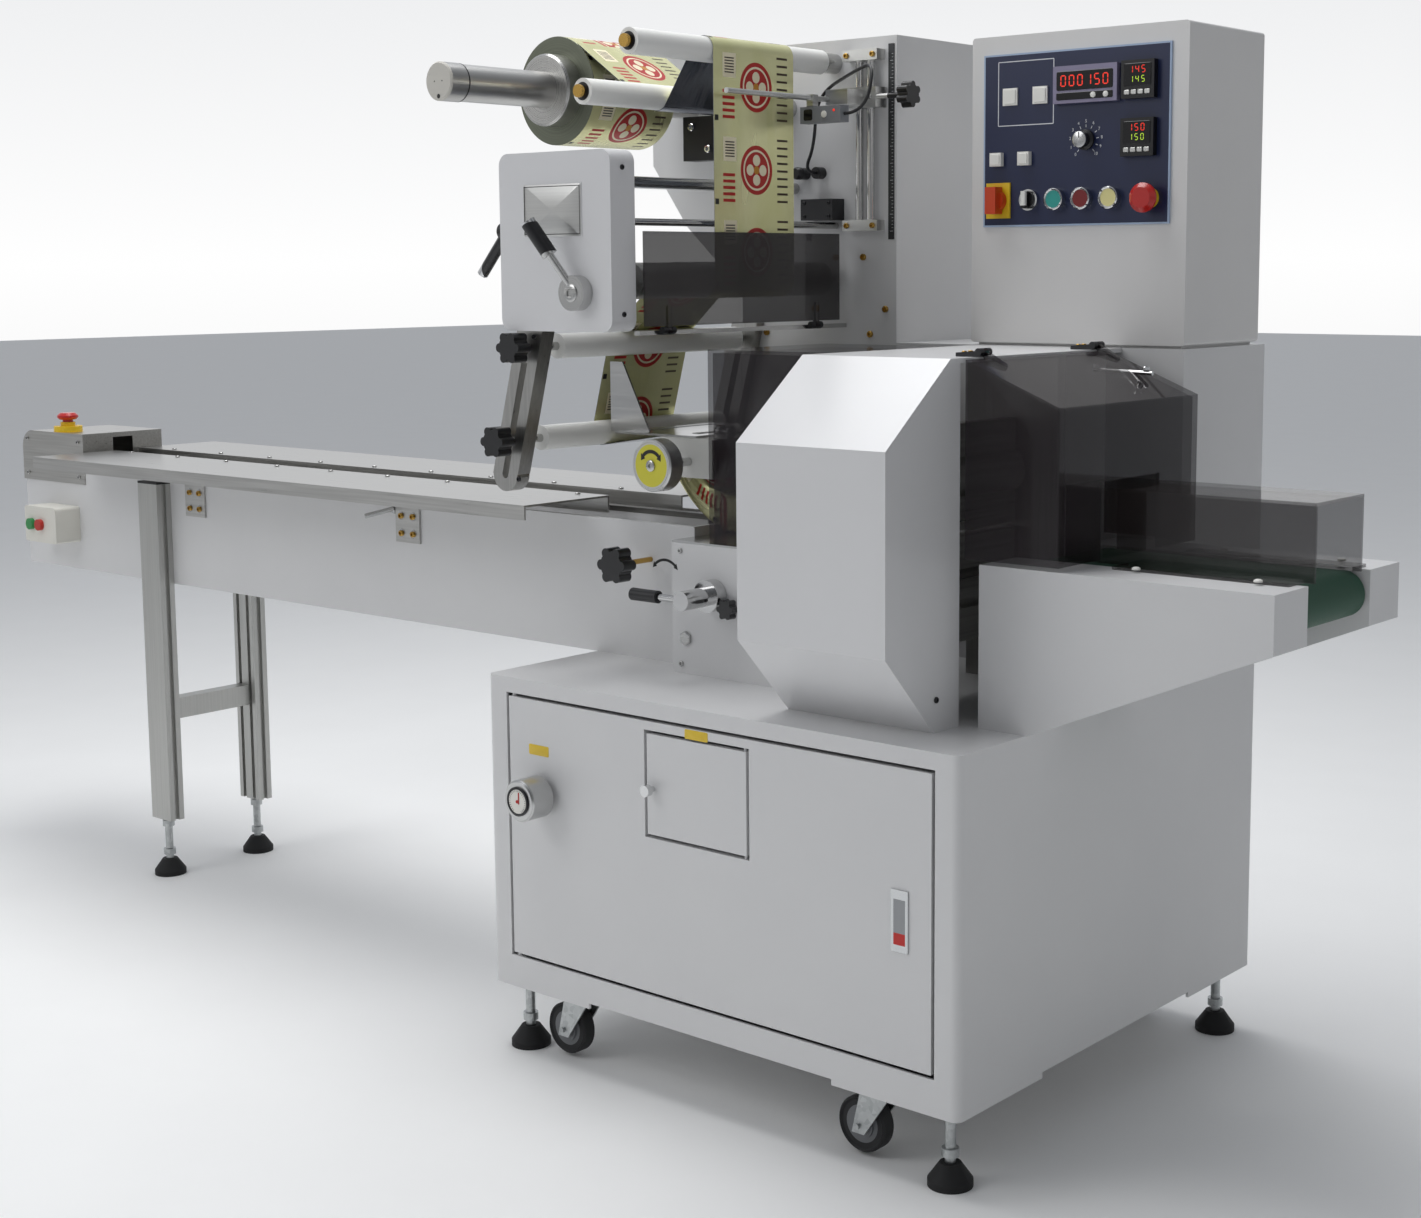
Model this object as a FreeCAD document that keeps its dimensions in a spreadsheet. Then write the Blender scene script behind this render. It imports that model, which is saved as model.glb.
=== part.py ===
"""Horizontal flow wrapper: base cabinet, infeed conveyor, film stand, former, end sealer, discharge.

Millimetres. +X is the way the product travels, the operator stands on the -Y side, +Z is up.
The origin is on the floor, in the middle of the machine's length and depth.
In the sheet, heights are above the floor, "left" is a distance to the left of the cabinet's
right side, "right" one to its right, and "in" a distance behind the cabinet's front face.
"""

import FreeCAD, Part
import math
import os
import re

import Sketcher
from FreeCAD import Placement, Rotation, Vector

doc = FreeCAD.newDocument("FlowWrapper")

SIZES = {
    # base cabinet
    "cabinet_length": 830, "cabinet_depth": 760, "cabinet_top": 558, "floor_gap": 100,
    "cabinet_wall": 4, "cabinet_round": 12, "skirt": 8, "skirt_corner": 197,
    "door_margin": 45, "door_right": 41, "door_foot": 152, "door_top": 531,
    "door_gap": 5, "door_thickness": 18, "door_pivot_margin": 51, "door_pivot_in": 6,
    "pivot_radius": 3, "pivot_depth": 12, "pivot_lug": 14,
    "hatch_left": 514, "hatch_right": 337, "hatch_foot": 375, "hatch_top": 514,
    "hatch_thickness": 10, "hatch_pivot_right": 342, "hatch_pivot_in": 5,
    "hatch_pin_radius": 2, "hatch_knob_radius": 8, "hatch_knob_reach": 18,
    "hatch_knob_left": 503, "hatch_knob_height": 439,
    "latch_left": 101, "latch_width": 26, "latch_height": 79, "latch_foot": 299, "latch_proud": 2,
    "dial_margin": 114, "dial_height": 397, "dial_radius": 30, "dial_reach": 50, "dial_stand": 8,
    "dial_hub_radius": 14, "dial_edge": 3,
    # levelling feet and casters
    "foot_inset": 37, "foot_pad_radius": 29, "foot_pad_edge": 9, "foot_neck_radius": 14,
    "foot_pad_height": 30, "foot_nut_radius": 11, "foot_nut_height": 11, "foot_stud_radius": 7,
    "foot_low_nut": 38, "foot_high_nut": 93,
    "caster_inset": 145, "caster_in": 45, "caster_trail": 30, "wheel_radius": 37.5,
    "wheel_width": 24, "wheel_lift": 5, "axle_radius": 4, "running_play": 0.05,
    "wheel_play": 3, "fork_sheet": 3, "fork_plate_length": 62, "fork_plate_width": 50,
    "fork_race_radius": 21, "fork_race_height": 9, "fork_end": 10, "axle_head": 4,
    # infeed conveyor
    "infeed_reach": 1611, "line_in": 310, "frame_width": 170, "frame_sheet": 6,
    "frame_top": 764, "frame_right": 627, "case_sheet": 3,
    "trough_floor": 752, "trough_sheet": 3, "trough_inset": 71, "trough_end": 670,
    "rail_width": 14,
    "leg_inset": 471, "leg_wide": 60, "leg_deep": 30, "leg_top": 746, "leg_slot": 9,
    "leg_slot_depth": 7, "leg_cap": 4, "bar_foot": 298, "bar_height": 39, "bar_wide": 30,
    "table_top": 791, "guide_sheet": 3, "guide_reach": 210, "trough_half": 32, "lip_drop": 22,
    "guide_wall_drop": 27, "front_guide_inset": 244, "front_guide_end": 852,
    "rear_guide_inset": 221, "rear_guide_end": 760,
    "bracket_width": 59, "bracket_foot": 690, "bracket_sheet": 4,
    "bracket_first_inset": 553, "bracket_second_inset": 1149,
    "chain_width": 16, "chain_height": 60, "chain_link": 8, "chain_top": 772,
    "chain_inset": 41, "chain_end": 640,
    "end_case_length": 218, "end_case_foot": 726, "end_case_top": 824, "end_case_round": 35,
    "end_window_wide": 44, "end_window_top": 815,
    "station_inset": 81, "station_wide": 110, "station_deep": 53, "station_foot": 612,
    "station_height": 70, "station_round": 6, "green_inset": 26, "red_inset": 57,
    "station_button_radius": 11, "station_button_proud": 8,
    "infeed_stop_inset": 123, "infeed_stop_in": 250,
    # stop buttons
    "stop_radius": 20, "stop_stem_radius": 10, "stop_cap": 13, "stop_collar_radius": 14,
    "stop_collar": 8, "stop_gap": 5, "stop_base_radius": 27, "stop_base_height": 11,
    # bed and forming section
    "bed_in": 176, "bed_width": 268, "bed_top": 750, "bed_plate": 3, "bed_right": 340,
    "head_left": 660, "head_right": 560, "head_in": 190, "head_width": 240, "head_foot": 840,
    "head_top": 896, "head_post": 30,
    "ruler_left": 760, "ruler_right": 600, "ruler_in": 200, "ruler_width": 220, "ruler_sheet": 3,
    "shoulder_left": 790, "shoulder_top": 1000, "shoulder_top_right": 765,
    "shoulder_foot_right": 712,
    "handwheel_left": 605, "handwheel_in": 112, "handwheel_height": 863,
    "handwheel_radius": 37, "handwheel_depth": 28, "spindle_radius": 6, "turning_gap": 0.3,
    "lever_left": 545, "lever_height": 678, "lever_nut_radius": 23, "lever_nut": 20,
    "lever_hub_radius": 14, "lever_reach": 72, "lever_arm": 55, "lever_arm_radius": 5,
    "lever_grip_radius": 9, "lever_grip": 50,
    "star_left": 715, "star_height": 709, "star_in": 140, "star_radius": 27.5,
    "star_depth": 25, "star_rod_radius": 4,
    "small_star_left": 508, "small_star_height": 663, "small_star_radius": 15,
    "small_star_depth": 14, "small_star_stand": 8,
    "catch_inset": 1143, "catch_drop": 20, "catch_run": 22, "catch_out": 42, "catch_fall": 10,
    "catch_radius": 4,
    # end sealer
    "hood_left": 333, "hood_right": 97, "hood_front": 19, "hood_foot_in": 82, "hood_in": 136,
    "hood_crease_low": 665, "hood_crease_high": 918, "hood_top": 1024, "hood_top_in": 115,
    "hood_sheet": 4, "roof_sheet": 6, "housing_in": 524,
    "feed_guard_left": 554, "guard_sheet": 5, "feed_gate_half": 55, "feed_gate_top": 835,
    "guard_knob_radius": 9, "guard_knob_in": 225, "guard_knob_height": 905,
    "seal_plate": 20, "seal_near_in": 170, "seal_far_in": 430, "seal_left": 290,
    "seal_wide": 150, "jaw_left": 215, "jaw_high": 857, "jaw_low": 705, "jaw_reach": 73,
    "jaw_shaft_radius": 15, "jaw_hub_radius": 30, "jaw_thickness": 26, "jaw_side_gap": 10,
    # smoked exit cover and its hinges
    "cover_left": 92, "cover_top": 1022, "cover_right": 46, "cover_crease": 967,
    "cover_foot": 772, "cover_in": 140, "cover_width": 340, "gate_half": 72, "gate_top": 870,
    "cover_axis_left": 97, "cover_axis_height": 1030, "knuckle_radius": 5, "pin_radius": 2.5,
    "knuckle": 8, "knuckle_gap": 0.5, "leaf": 34, "leaf_sheet": 5,
    "cover_hinge_first_in": 174, "cover_hinge_second_in": 446,
    # rear housing, tower and control box
    "tower_right": 485, "tower_left": 790, "tower_top": 1477, "tower_plate": 20,
    "wing_left": 981, "wing_foot": 1303, "wing_slope_left": 908, "wing_slope_foot": 1204,
    "wing_neck": 1100,
    "case_left": 349, "case_depth": 214, "case_foot": 1028, "case_top": 1461, "case_round": 5,
    "case_base_inset": 8,
    "panel_left": 327, "panel_right": 25, "panel_foot": 1193, "panel_top": 1435,
    "panel_sheet": 3,
    "counter_left": 154.6, "counter_drop": 49, "counter_wide": 102, "counter_tall": 51,
    "counter_proud": 9, "thermo_left": 71, "thermo_high_drop": 48, "thermo_low_drop": 125,
    "thermo_side": 51, "thermo_proud": 10,
    "lamp_inset": 46, "lamp_second": 231, "lamp_drop": 60, "lamp_side": 24,
    "lamp_proud": 3, "key_inset": 25, "key_second": 255, "key_drop": 147, "key_side": 19,
    "key_proud": 8, "row_drop": 205, "start_left": 203, "halt_left": 159, "jog_left": 114.5,
    "button_radius": 15, "button_proud": 10,
    "power_inset": 27, "power_plate": 40, "power_tall": 50, "power_grip_wide": 18,
    "power_grip_long": 38, "power_grip_proud": 20, "power_hub_radius": 15,
    "selector_left": 248, "selector_radius": 11, "selector_ring_radius": 15,
    "selector_ring": 5, "selector_long": 24, "selector_wide": 7, "selector_proud": 18,
    "speed_left": 156.6, "speed_drop": 125, "speed_radius": 14, "speed_proud": 18,
    "panel_stop_left": 54.6, "panel_stop_drop": 207,
    # drive box of the film feed
    "drive_left": 803, "drive_right": 586, "drive_in": 20, "drive_depth": 47,
    "drive_foot": 1051, "drive_top": 1296, "drive_round": 17,
    "plate_left": 754, "plate_wide": 114, "plate_foot": 1180, "plate_tall": 73,
    "plate_proud": 1,
    "nip_lever_left": 646, "nip_lever_height": 1104, "nip_hub_radius": 24, "nip_hub": 18,
    "nip_run": 51, "nip_rise": 97, "nip_out": 38, "nip_arm_radius": 5, "nip_grip_radius": 11,
    "nip_grip": 54,
    "ratchet_height": 1190, "ratchet_in": 45, "ratchet_hub": 22, "ratchet_radius": 12,
    "ratchet_run": 55, "ratchet_fall": 60, "ratchet_grip_radius": 8,
    # rollers of the film path
    "roller_radius": 18, "roller_near_in": 76, "roller_far_in": 488, "idler_pin_radius": 6,
    "idler_near_in": 101, "idler_far_in": 490, "screw_radius": 9, "screw": 5, "boss_radius": 15,
    "boss": 30, "roller_1_left": 602, "roller_1_height": 1442, "roller_2_left": 691,
    "roller_2_height": 1380, "roller_3_left": 778, "roller_3_height": 1027, "arm_run": 37,
    "arm_drop": 134,
    "draw_left": 609, "feed_height": 1120, "feed_radius": 25, "feed_pin_radius": 8,
    "feed_near_in": 80, "feed_far_in": 495, "web_gap": 0.3, "film_sheet": 1, "nip_ease": 0.2,
    "film_near_in": 226, "film_far_in": 402,
    "arm_in": 43, "arm_thick": 24, "arm_half": 25, "arm_slot_half": 6.1, "arm_end_height": 844,
    "arm_slot_top": 1005, "rear_arm": 18, "arm_knob_in": 5,
    "tie_left": 680, "tie_height": 1258, "tie_radius": 8.5, "low_tie_left": 600,
    "low_tie_height": 1200, "low_tie_radius": 5,
    "hinge_bar_left": 590, "hinge_bar_wide": 10, "hinge_bar_sheet": 6,
    "film_cover_left": 577, "film_cover_sheet": 4, "film_cover_in": 72, "film_cover_far_in": 498,
    "film_cover_foot": 1058, "film_cover_top": 1187, "film_cover_axis_height": 1052,
    "film_hinge_first_in": 106, "film_hinge_second_in": 430,
    # film reel
    "reel_left": 897, "reel_height": 1401, "reel_shaft_radius": 26.5, "reel_cap_radius": 27.5,
    "reel_front": 5, "reel_cap_in": 31, "reel_collar_in": 199, "reel_collar_radius": 53,
    "roll_radius": 80, "core_radius": 38,
    # film tube in the former
    "tube_start": 624, "tube_end": 345, "tube_half": 35, "tube_foot": 750.5, "tube_top": 812,
    "web_end_left": 690, "web_end_height": 893,
    # film sensor, its rails and its lead
    "rail_left_first": 545, "rail_left_second": 524, "rail_radius": 6, "rail_in": 512,
    "rail_block_left": 572, "rail_block_wide": 65, "rail_block_deep": 20,
    "rail_block_high": 1442, "rail_block_tall": 16, "rail_block_low": 1191,
    "scale_left": 499, "scale_wide": 10, "scale_sheet": 2, "scale_foot": 1178,
    "scale_top": 1465,
    "slide_left": 566, "slide_wide": 63, "slide_in": 496, "slide_deep": 27,
    "slide_foot": 1372, "slide_top": 1402, "slide_play": 0.3,
    "neck_left": 563, "neck_wide": 41, "neck_in": 453, "neck_foot": 1375, "neck_tall": 22,
    "finger_left": 560, "finger_height": 1383, "finger_in": 227, "finger_radius": 4,
    "eye_left": 575, "eye_wide": 75, "eye_in": 408, "eye_deep": 20, "eye_foot": 1346,
    "eye_tall": 25, "eye_stem": 12,
    "slide_knob_left": 455, "slide_knob_radius": 19, "slide_knob": 18,
    "lead_radius": 2.5, "gland_left": 627, "gland_second": 658, "gland_height": 1280,
    "gland_radius": 9, "gland": 16,
    "limit_left": 645, "limit_wide": 61, "limit_foot": 1208, "limit_tall": 32, "limit_deep": 30,
    "brake_left": 817, "brake_wide": 73, "brake_foot": 1301, "brake_tall": 67,
    "brake_in": 418, "brake_deep": 28, "brake_rod_radius": 7,
    # discharge conveyor
    "exit_reach": 332, "exit_left": 70, "exit_foot_right": 3, "exit_in": 140, "exit_wide": 85,
    "exit_top": 767, "exit_tip": 697,
    "belt_left": 60, "belt_right": 329, "belt_in": 232, "belt_wide": 156, "belt_top": 765,
    "belt_height": 58, "belt_sheet": 3, "belt_slack": 0.3, "belt_axle_radius": 6,
    "tunnel_left": 10, "tunnel_right": 330, "tunnel_half": 65, "tunnel_sheet": 4,
    "tunnel_top": 862, "tunnel_foot_left": 82, "tunnel_foot_right": 317, "tunnel_foot": 40,
}

sheet = doc.addObject("Spreadsheet::Sheet", "Sizes")
for row, (alias, size) in enumerate(SIZES.items(), 1):
    sheet.set(f"A{row}", alias)
    sheet.set(f"B{row}", str(size))
    sheet.setAlias(f"B{row}", alias)
doc.recompute()

PARTS = {}


def bound(text):
    """The expression with each size's name pointed at its cell of the sheet."""
    return re.sub(r"[a-z][a-z_0-9]*", lambda m: "Sizes." + m[0] if m[0] in SIZES else m[0], str(text))


def value(text):
    """What an expression of size names comes to, in millimetres."""
    return float(sheet.evalExpression(bound(text)))


RIGHT = "((infeed_reach + cabinet_length + exit_reach) / 2 - exit_reach)"
FRONT = "((dial_reach - cabinet_depth) / 2)"


def left(name):
    """X of something this far to the left of the cabinet's right side."""
    return f"({RIGHT} - {name})"


def right(name):
    """X of something this far to the right of the cabinet's right side."""
    return f"({RIGHT} + {name})"


def behind(name):
    """Y of something this far behind the cabinet's front face."""
    return f"({FRONT} + {name})"


LINE = behind("line_in")
UP = Rotation()
ALONG_Y = Rotation(Vector(1, 0, 0), -90)
TO_FRONT = Rotation(Vector(1, 0, 0), 90)
ALONG_X = Rotation(Vector(0, 1, 0), 90)
TO_LEFT = Rotation(Vector(0, 1, 0), -90)


def place(thing, x=0, y=0, z=0, turn=UP):
    """Binds the object's place to three expressions, after turning it."""
    thing.Placement = Placement(Vector(), turn)
    for axis, text in zip("xyz", (x, y, z)):
        thing.setExpression(f"Placement.Base.{axis}", bound(text))
    return thing


def block(name, x, y, z, length, width, height):
    """A box from its lowest corner."""
    box = doc.addObject("Part::Box", name)
    for side, text in (("Length", length), ("Width", width), ("Height", height)):
        box.setExpression(side, bound(text))
    return place(box, x, y, z)


def rod(name, x, y, z, radius, length, turn=UP):
    """A cylinder from the middle of its first end."""
    cylinder = doc.addObject("Part::Cylinder", name)
    cylinder.setExpression("Radius", bound(radius))
    cylinder.setExpression("Height", bound(length))
    return place(cylinder, x, y, z, turn)


def joined(name, *shapes):
    """Shapes fused to one solid."""
    result = doc.addObject("Part::MultiFuse", name)
    result.Shapes = list(shapes)
    result.Refine = True
    return result


def cut(name, base, *tools):
    """The base less the tools."""
    result = doc.addObject("Part::Cut", name)
    result.Base = base
    result.Tool = tools[0] if len(tools) == 1 else joined(name + "_tools", *tools)
    return result


def together(name, *shapes):
    """Like pieces that do not touch, kept as separate solids."""
    result = doc.addObject("Part::Compound", name)
    result.Links = list(shapes)
    return result


def part(label, thing):
    """Keeps a finished sub-part under its own label."""
    thing.Label = label
    PARTS[label] = thing
    return thing


def outline(sketch, points):
    """A closed run of straight lines whose corners are bound to the sheet."""
    corners = [Vector(value(x), value(y), 0) for x, y in points]
    first = sketch.GeometryCount
    count = len(corners)
    for i in range(count):
        sketch.addGeometry(Part.LineSegment(corners[i], corners[(i + 1) % count]), False)
    for i in range(count):
        line = first + i
        sketch.addConstraint(Sketcher.Constraint("Coincident", line, 2, first + (i + 1) % count, 1))
        for kind, axis, text, length in (
            ("DistanceX", -2, points[i][0], corners[i].x),
            ("DistanceY", -1, points[i][1], corners[i].y),
        ):
            if abs(length) < 1e-9:
                sketch.addConstraint(Sketcher.Constraint("PointOnObject", line, 1, axis))
                continue
            index = sketch.addConstraint(Sketcher.Constraint(kind, -1, 1, line, 1, length))
            sketch.setExpression(f"Constraints[{index}]", bound(text))


def sketch_in(name, plane):
    """A body and an empty sketch on one of its own origin planes."""
    body = doc.addObject("PartDesign::Body", name)
    sketch = body.newObject("Sketcher::SketchObject", name + "_outline")
    support = next(f for f in body.Origin.OriginFeatures if f.Role == plane + "_Plane")
    sketch.AttachmentSupport = [(support, "")]
    sketch.MapMode = "FlatFace"
    return body, sketch


def prism(name, plane, points, depth, x=0, y=0, z=0, holes=()):
    """An outline on one of the three planes, padded towards +X, +Y or +Z."""
    body, sketch = sketch_in(name, plane)
    outline(sketch, points)
    for hole in holes:
        outline(sketch, hole)
    pad = body.newObject("PartDesign::Pad", name + "_pad")
    pad.Profile = sketch
    pad.setExpression("Length", bound(depth))
    pad.Reversed = plane == "XZ"
    body.Tip = pad
    return place(body, x, y, z)


def turned(name, points, x=0, y=0, z=0, turn=UP):
    """A half profile of radius and height, turned about its own Z axis."""
    body, sketch = sketch_in(name, "XZ")
    outline(sketch, points)
    revolve = body.newObject("PartDesign::Revolution", name + "_turn")
    revolve.Profile = sketch
    revolve.ReferenceAxis = (sketch, ["V_Axis"])
    revolve.Angle = 360
    body.Tip = revolve
    return place(body, x, y, z, turn)


def eased(body, radius, chosen):
    """Rounds the edges of the body's tip that the rule picks out."""
    doc.recompute()
    tip = body.Tip
    names = [f"Edge{i}" for i, edge in enumerate(tip.Shape.Edges, 1) if chosen(edge)]
    fillet = body.newObject("PartDesign::Fillet", f"{body.Name}_round_{len(body.Group)}")
    fillet.Base = (tip, names)
    fillet.setExpression("Radius", bound(radius))
    body.Tip = fillet
    return body


def runs_along(axis):
    """A rule for straight edges along one axis of the body."""
    def rule(edge):
        if len(edge.Vertexes) != 2:
            return False
        step = edge.Vertexes[1].Point - edge.Vertexes[0].Point
        return step.Length > 1e-6 and abs(abs(getattr(step, axis)) - step.Length) < 1e-6
    return rule


def rectangle(x, z, width, height):
    """The corners of an upright rectangle, from its lowest one."""
    return [(x, z), (f"{x} + {width}", z), (f"{x} + {width}", f"{z} + {height}"),
            (x, f"{z} + {height}")]


def pointing(run, out, rise):
    """The turn that lays Z along a slanted arm with these three reaches."""
    return Rotation(Vector(0, 0, 1), Vector(value(run), value(out), value(rise)))


# ---------------------------------------------------------------- base cabinet

def cabinet():
    """Folded sheet box, open at the door, with its pan set up behind a low skirt."""
    outside = prism("cabinet_outside", "XY",
                    [("0", "0"), ("cabinet_length", "0"), ("cabinet_length", "cabinet_depth"),
                     ("0", "cabinet_depth")],
                    "cabinet_top - floor_gap", left("cabinet_length"), FRONT, "floor_gap")
    eased(outside, "cabinet_round", runs_along("z"))
    corner = left("cabinet_length") + " + cabinet_wall"
    inner_length = "cabinet_length - 2 * cabinet_wall"
    inner_depth = "cabinet_depth - 2 * cabinet_wall"
    cavity = block("cabinet_cavity", corner, behind("cabinet_wall"),
                   "floor_gap + skirt + cabinet_wall", inner_length, inner_depth,
                   "cabinet_top - floor_gap - skirt - 2 * cabinet_wall")
    recess = block("cabinet_recess", corner, behind("cabinet_wall"), "floor_gap - 1",
                   inner_length, inner_depth, "skirt + 1")
    doorway = block("cabinet_doorway", left("((cabinet_length - door_margin) + door_gap)"), f"{FRONT} - 1",
                    "door_foot - door_gap", "(cabinet_length - door_margin) - door_right + 2 * door_gap",
                    "cabinet_wall + 2", "door_top - door_foot + 2 * door_gap")
    front_notch = block("skirt_front_notch", left("(cabinet_length - skirt_corner)"),
                        f"{FRONT} - 1", "floor_gap - 1", "cabinet_length - 2 * skirt_corner",
                        "cabinet_depth + 2", "skirt + 1")
    side_notch = block("skirt_side_notch", left("cabinet_length") + " - 1",
                       behind("(skirt_corner - skirt)"), "floor_gap - 1", "cabinet_length + 2",
                       "cabinet_depth - 2 * (skirt_corner - skirt)", "skirt + 1")
    shell = cut("cabinet", outside, cavity, recess, doorway, front_notch, side_notch)
    part("cabinet_shell", joined("cabinet_with_pivots", shell, *door_pivots()))


def door_pivots():
    """Two pins for the door, each on a lug behind the edge of the doorway."""
    pieces = []
    x, y = left("(cabinet_length - door_pivot_margin)"), behind("door_pivot_in")
    for name, lug_foot, pin_foot in (
        ("upper", "door_top + door_gap", "door_top - pivot_depth"),
        ("lower", "door_foot - door_gap - pivot_lug", "door_foot - door_gap - pivot_lug"),
    ):
        pieces.append(block(f"{name}_lug", f"{x} - pivot_lug / 2", behind("(cabinet_wall / 2)"),
                            lug_foot, "pivot_lug", "door_thickness", "pivot_lug"))
        pieces.append(rod(f"{name}_pivot", x, y, pin_foot, "pivot_radius",
                          "pivot_lug + door_gap + pivot_depth"))
    return pieces


def door():
    """The front door, with the hatchway cut through it and the flush latch plate on it."""
    hatchway = rectangle(left("(hatch_left + door_gap)"), "hatch_foot - door_gap",
                         "hatch_left - hatch_right + 2 * door_gap",
                         "hatch_top - hatch_foot + 2 * door_gap")
    slab = prism("door_slab", "XZ",
                 rectangle(left("(cabinet_length - door_margin)"), "door_foot",
                           "(cabinet_length - door_margin) - door_right",
                           "door_top - door_foot"),
                 "door_thickness", 0, FRONT, 0, holes=[hatchway])
    latch = block("door_latch_plate", left("latch_left"), behind("-latch_proud"), "latch_foot",
                  "latch_width", "latch_proud + door_thickness / 2", "latch_height")
    x, y = left("(cabinet_length - door_pivot_margin)"), behind("door_pivot_in")
    bores = [
        rod(f"door_bore_{i}", x, y, foot, "pivot_radius + running_play", "pivot_depth + 2")
        for i, foot in enumerate(("door_top - pivot_depth - 1", "door_foot - 1"), 1)
    ]
    x, y = left("hatch_pivot_right"), behind("hatch_pivot_in")
    pins = [
        rod(f"hatch_pin_{i}", x, y, foot, "hatch_pin_radius", "pivot_depth + 2 * door_gap")
        for i, foot in enumerate(("hatch_top - pivot_depth", "hatch_foot - 2 * door_gap"), 1)
    ]
    part("cabinet_door", joined("door", cut("door_pan", slab, *bores), latch, *pins))


def hatch():
    """The small hatch in the door, with its round knob near the free edge."""
    slab = block("hatch_slab", left("hatch_left"), FRONT, "hatch_foot", "hatch_left - hatch_right",
                 "hatch_thickness", "hatch_top - hatch_foot")
    stem = rod("hatch_knob_stem", left("hatch_knob_left"), behind("hatch_thickness / 2"),
               "hatch_knob_height", "hatch_knob_radius / 2",
               "hatch_knob_reach + hatch_thickness / 2", TO_FRONT)
    head = rod("hatch_knob_head", left("hatch_knob_left"), behind("-hatch_knob_reach / 2"),
               "hatch_knob_height", "hatch_knob_radius", "hatch_knob_reach / 2", TO_FRONT)
    bores = [
        rod(f"hatch_bore_{i}", left("hatch_pivot_right"), behind("hatch_pivot_in"), foot,
            "hatch_pin_radius + running_play", "pivot_depth + 2")
        for i, foot in enumerate(("hatch_top - pivot_depth - 1", "hatch_foot - 1"), 1)
    ]
    part("hatch", joined("hatch_door", cut("hatch_flap", slab, *bores), stem, head))


def dial():
    """The setting handwheel with its pointer dial, on a short hub in front of the door."""
    part("setting_dial", turned("dial_body", [
        ("0", "turning_gap"),
        ("dial_hub_radius", "turning_gap"),
        ("dial_hub_radius", "dial_stand"),
        ("dial_radius - dial_edge", "dial_stand"),
        ("dial_radius", "dial_stand + dial_edge"),
        ("dial_radius", "dial_reach - dial_edge"),
        ("dial_radius - dial_edge", "dial_reach"),
        ("0", "dial_reach"),
    ], left("(cabinet_length - dial_margin)"), FRONT, "dial_height", TO_FRONT))


# ---------------------------------------------------------------- feet and casters

LEG_X = left("(infeed_reach + cabinet_length - leg_inset)")
FRAME_NEAR = behind("(line_in - frame_width / 2)")
FRAME_FAR = behind("(line_in + frame_width / 2)")
LEG_NEAR = behind("(line_in - frame_width / 2 - leg_deep / 2)")
LEG_FAR = behind("(line_in + frame_width / 2 + leg_deep / 2)")
PAN = "floor_gap + skirt"


def levelling_feet():
    """Rubber-padded levelling feet on studs, each with a nut below and a lock nut above."""
    profile = [
        ("0", "0"),
        ("foot_pad_radius", "0"),
        ("foot_pad_radius", "foot_pad_edge"),
        ("foot_neck_radius", "foot_pad_height"),
        ("foot_stud_radius", "foot_pad_height"),
        ("foot_stud_radius", "foot_low_nut"),
        ("foot_nut_radius", "foot_low_nut"),
        ("foot_nut_radius", "foot_low_nut + foot_nut_height"),
        ("foot_stud_radius", "foot_low_nut + foot_nut_height"),
        ("foot_stud_radius", "foot_high_nut"),
        ("foot_nut_radius", "foot_high_nut"),
        ("foot_nut_radius", "foot_high_nut + foot_nut_height"),
        ("foot_stud_radius", "foot_high_nut + foot_nut_height"),
        ("foot_stud_radius", PAN),
        ("0", PAN),
    ]
    far = "(cabinet_depth - foot_inset)"
    places = [
        (left("(cabinet_length - foot_inset)"), behind("foot_inset")),
        (left("foot_inset"), behind("foot_inset")),
        (left("(cabinet_length - foot_inset)"), behind(far)),
        (left("foot_inset"), behind(far)),
        (LEG_X, LEG_NEAR),
        (LEG_X, LEG_FAR),
    ]
    feet = [turned(f"foot_{i}", profile, x, y, 0) for i, (x, y) in enumerate(places, 1)]
    part("levelling_feet", together("feet", *feet))


CASTERS = {
    "front_left": (left("(cabinet_length - caster_inset)"), behind("caster_in")),
    "front_right": (left("caster_inset"), behind("caster_in")),
    "rear_left": (left("(cabinet_length - caster_inset)"), behind("(cabinet_depth - caster_in)")),
    "rear_right": (left("caster_inset"), behind("(cabinet_depth - caster_in)")),
}
AXLE_Z = "(wheel_radius + wheel_lift)"
CHEEK = "(wheel_width / 2 + wheel_play)"


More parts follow.
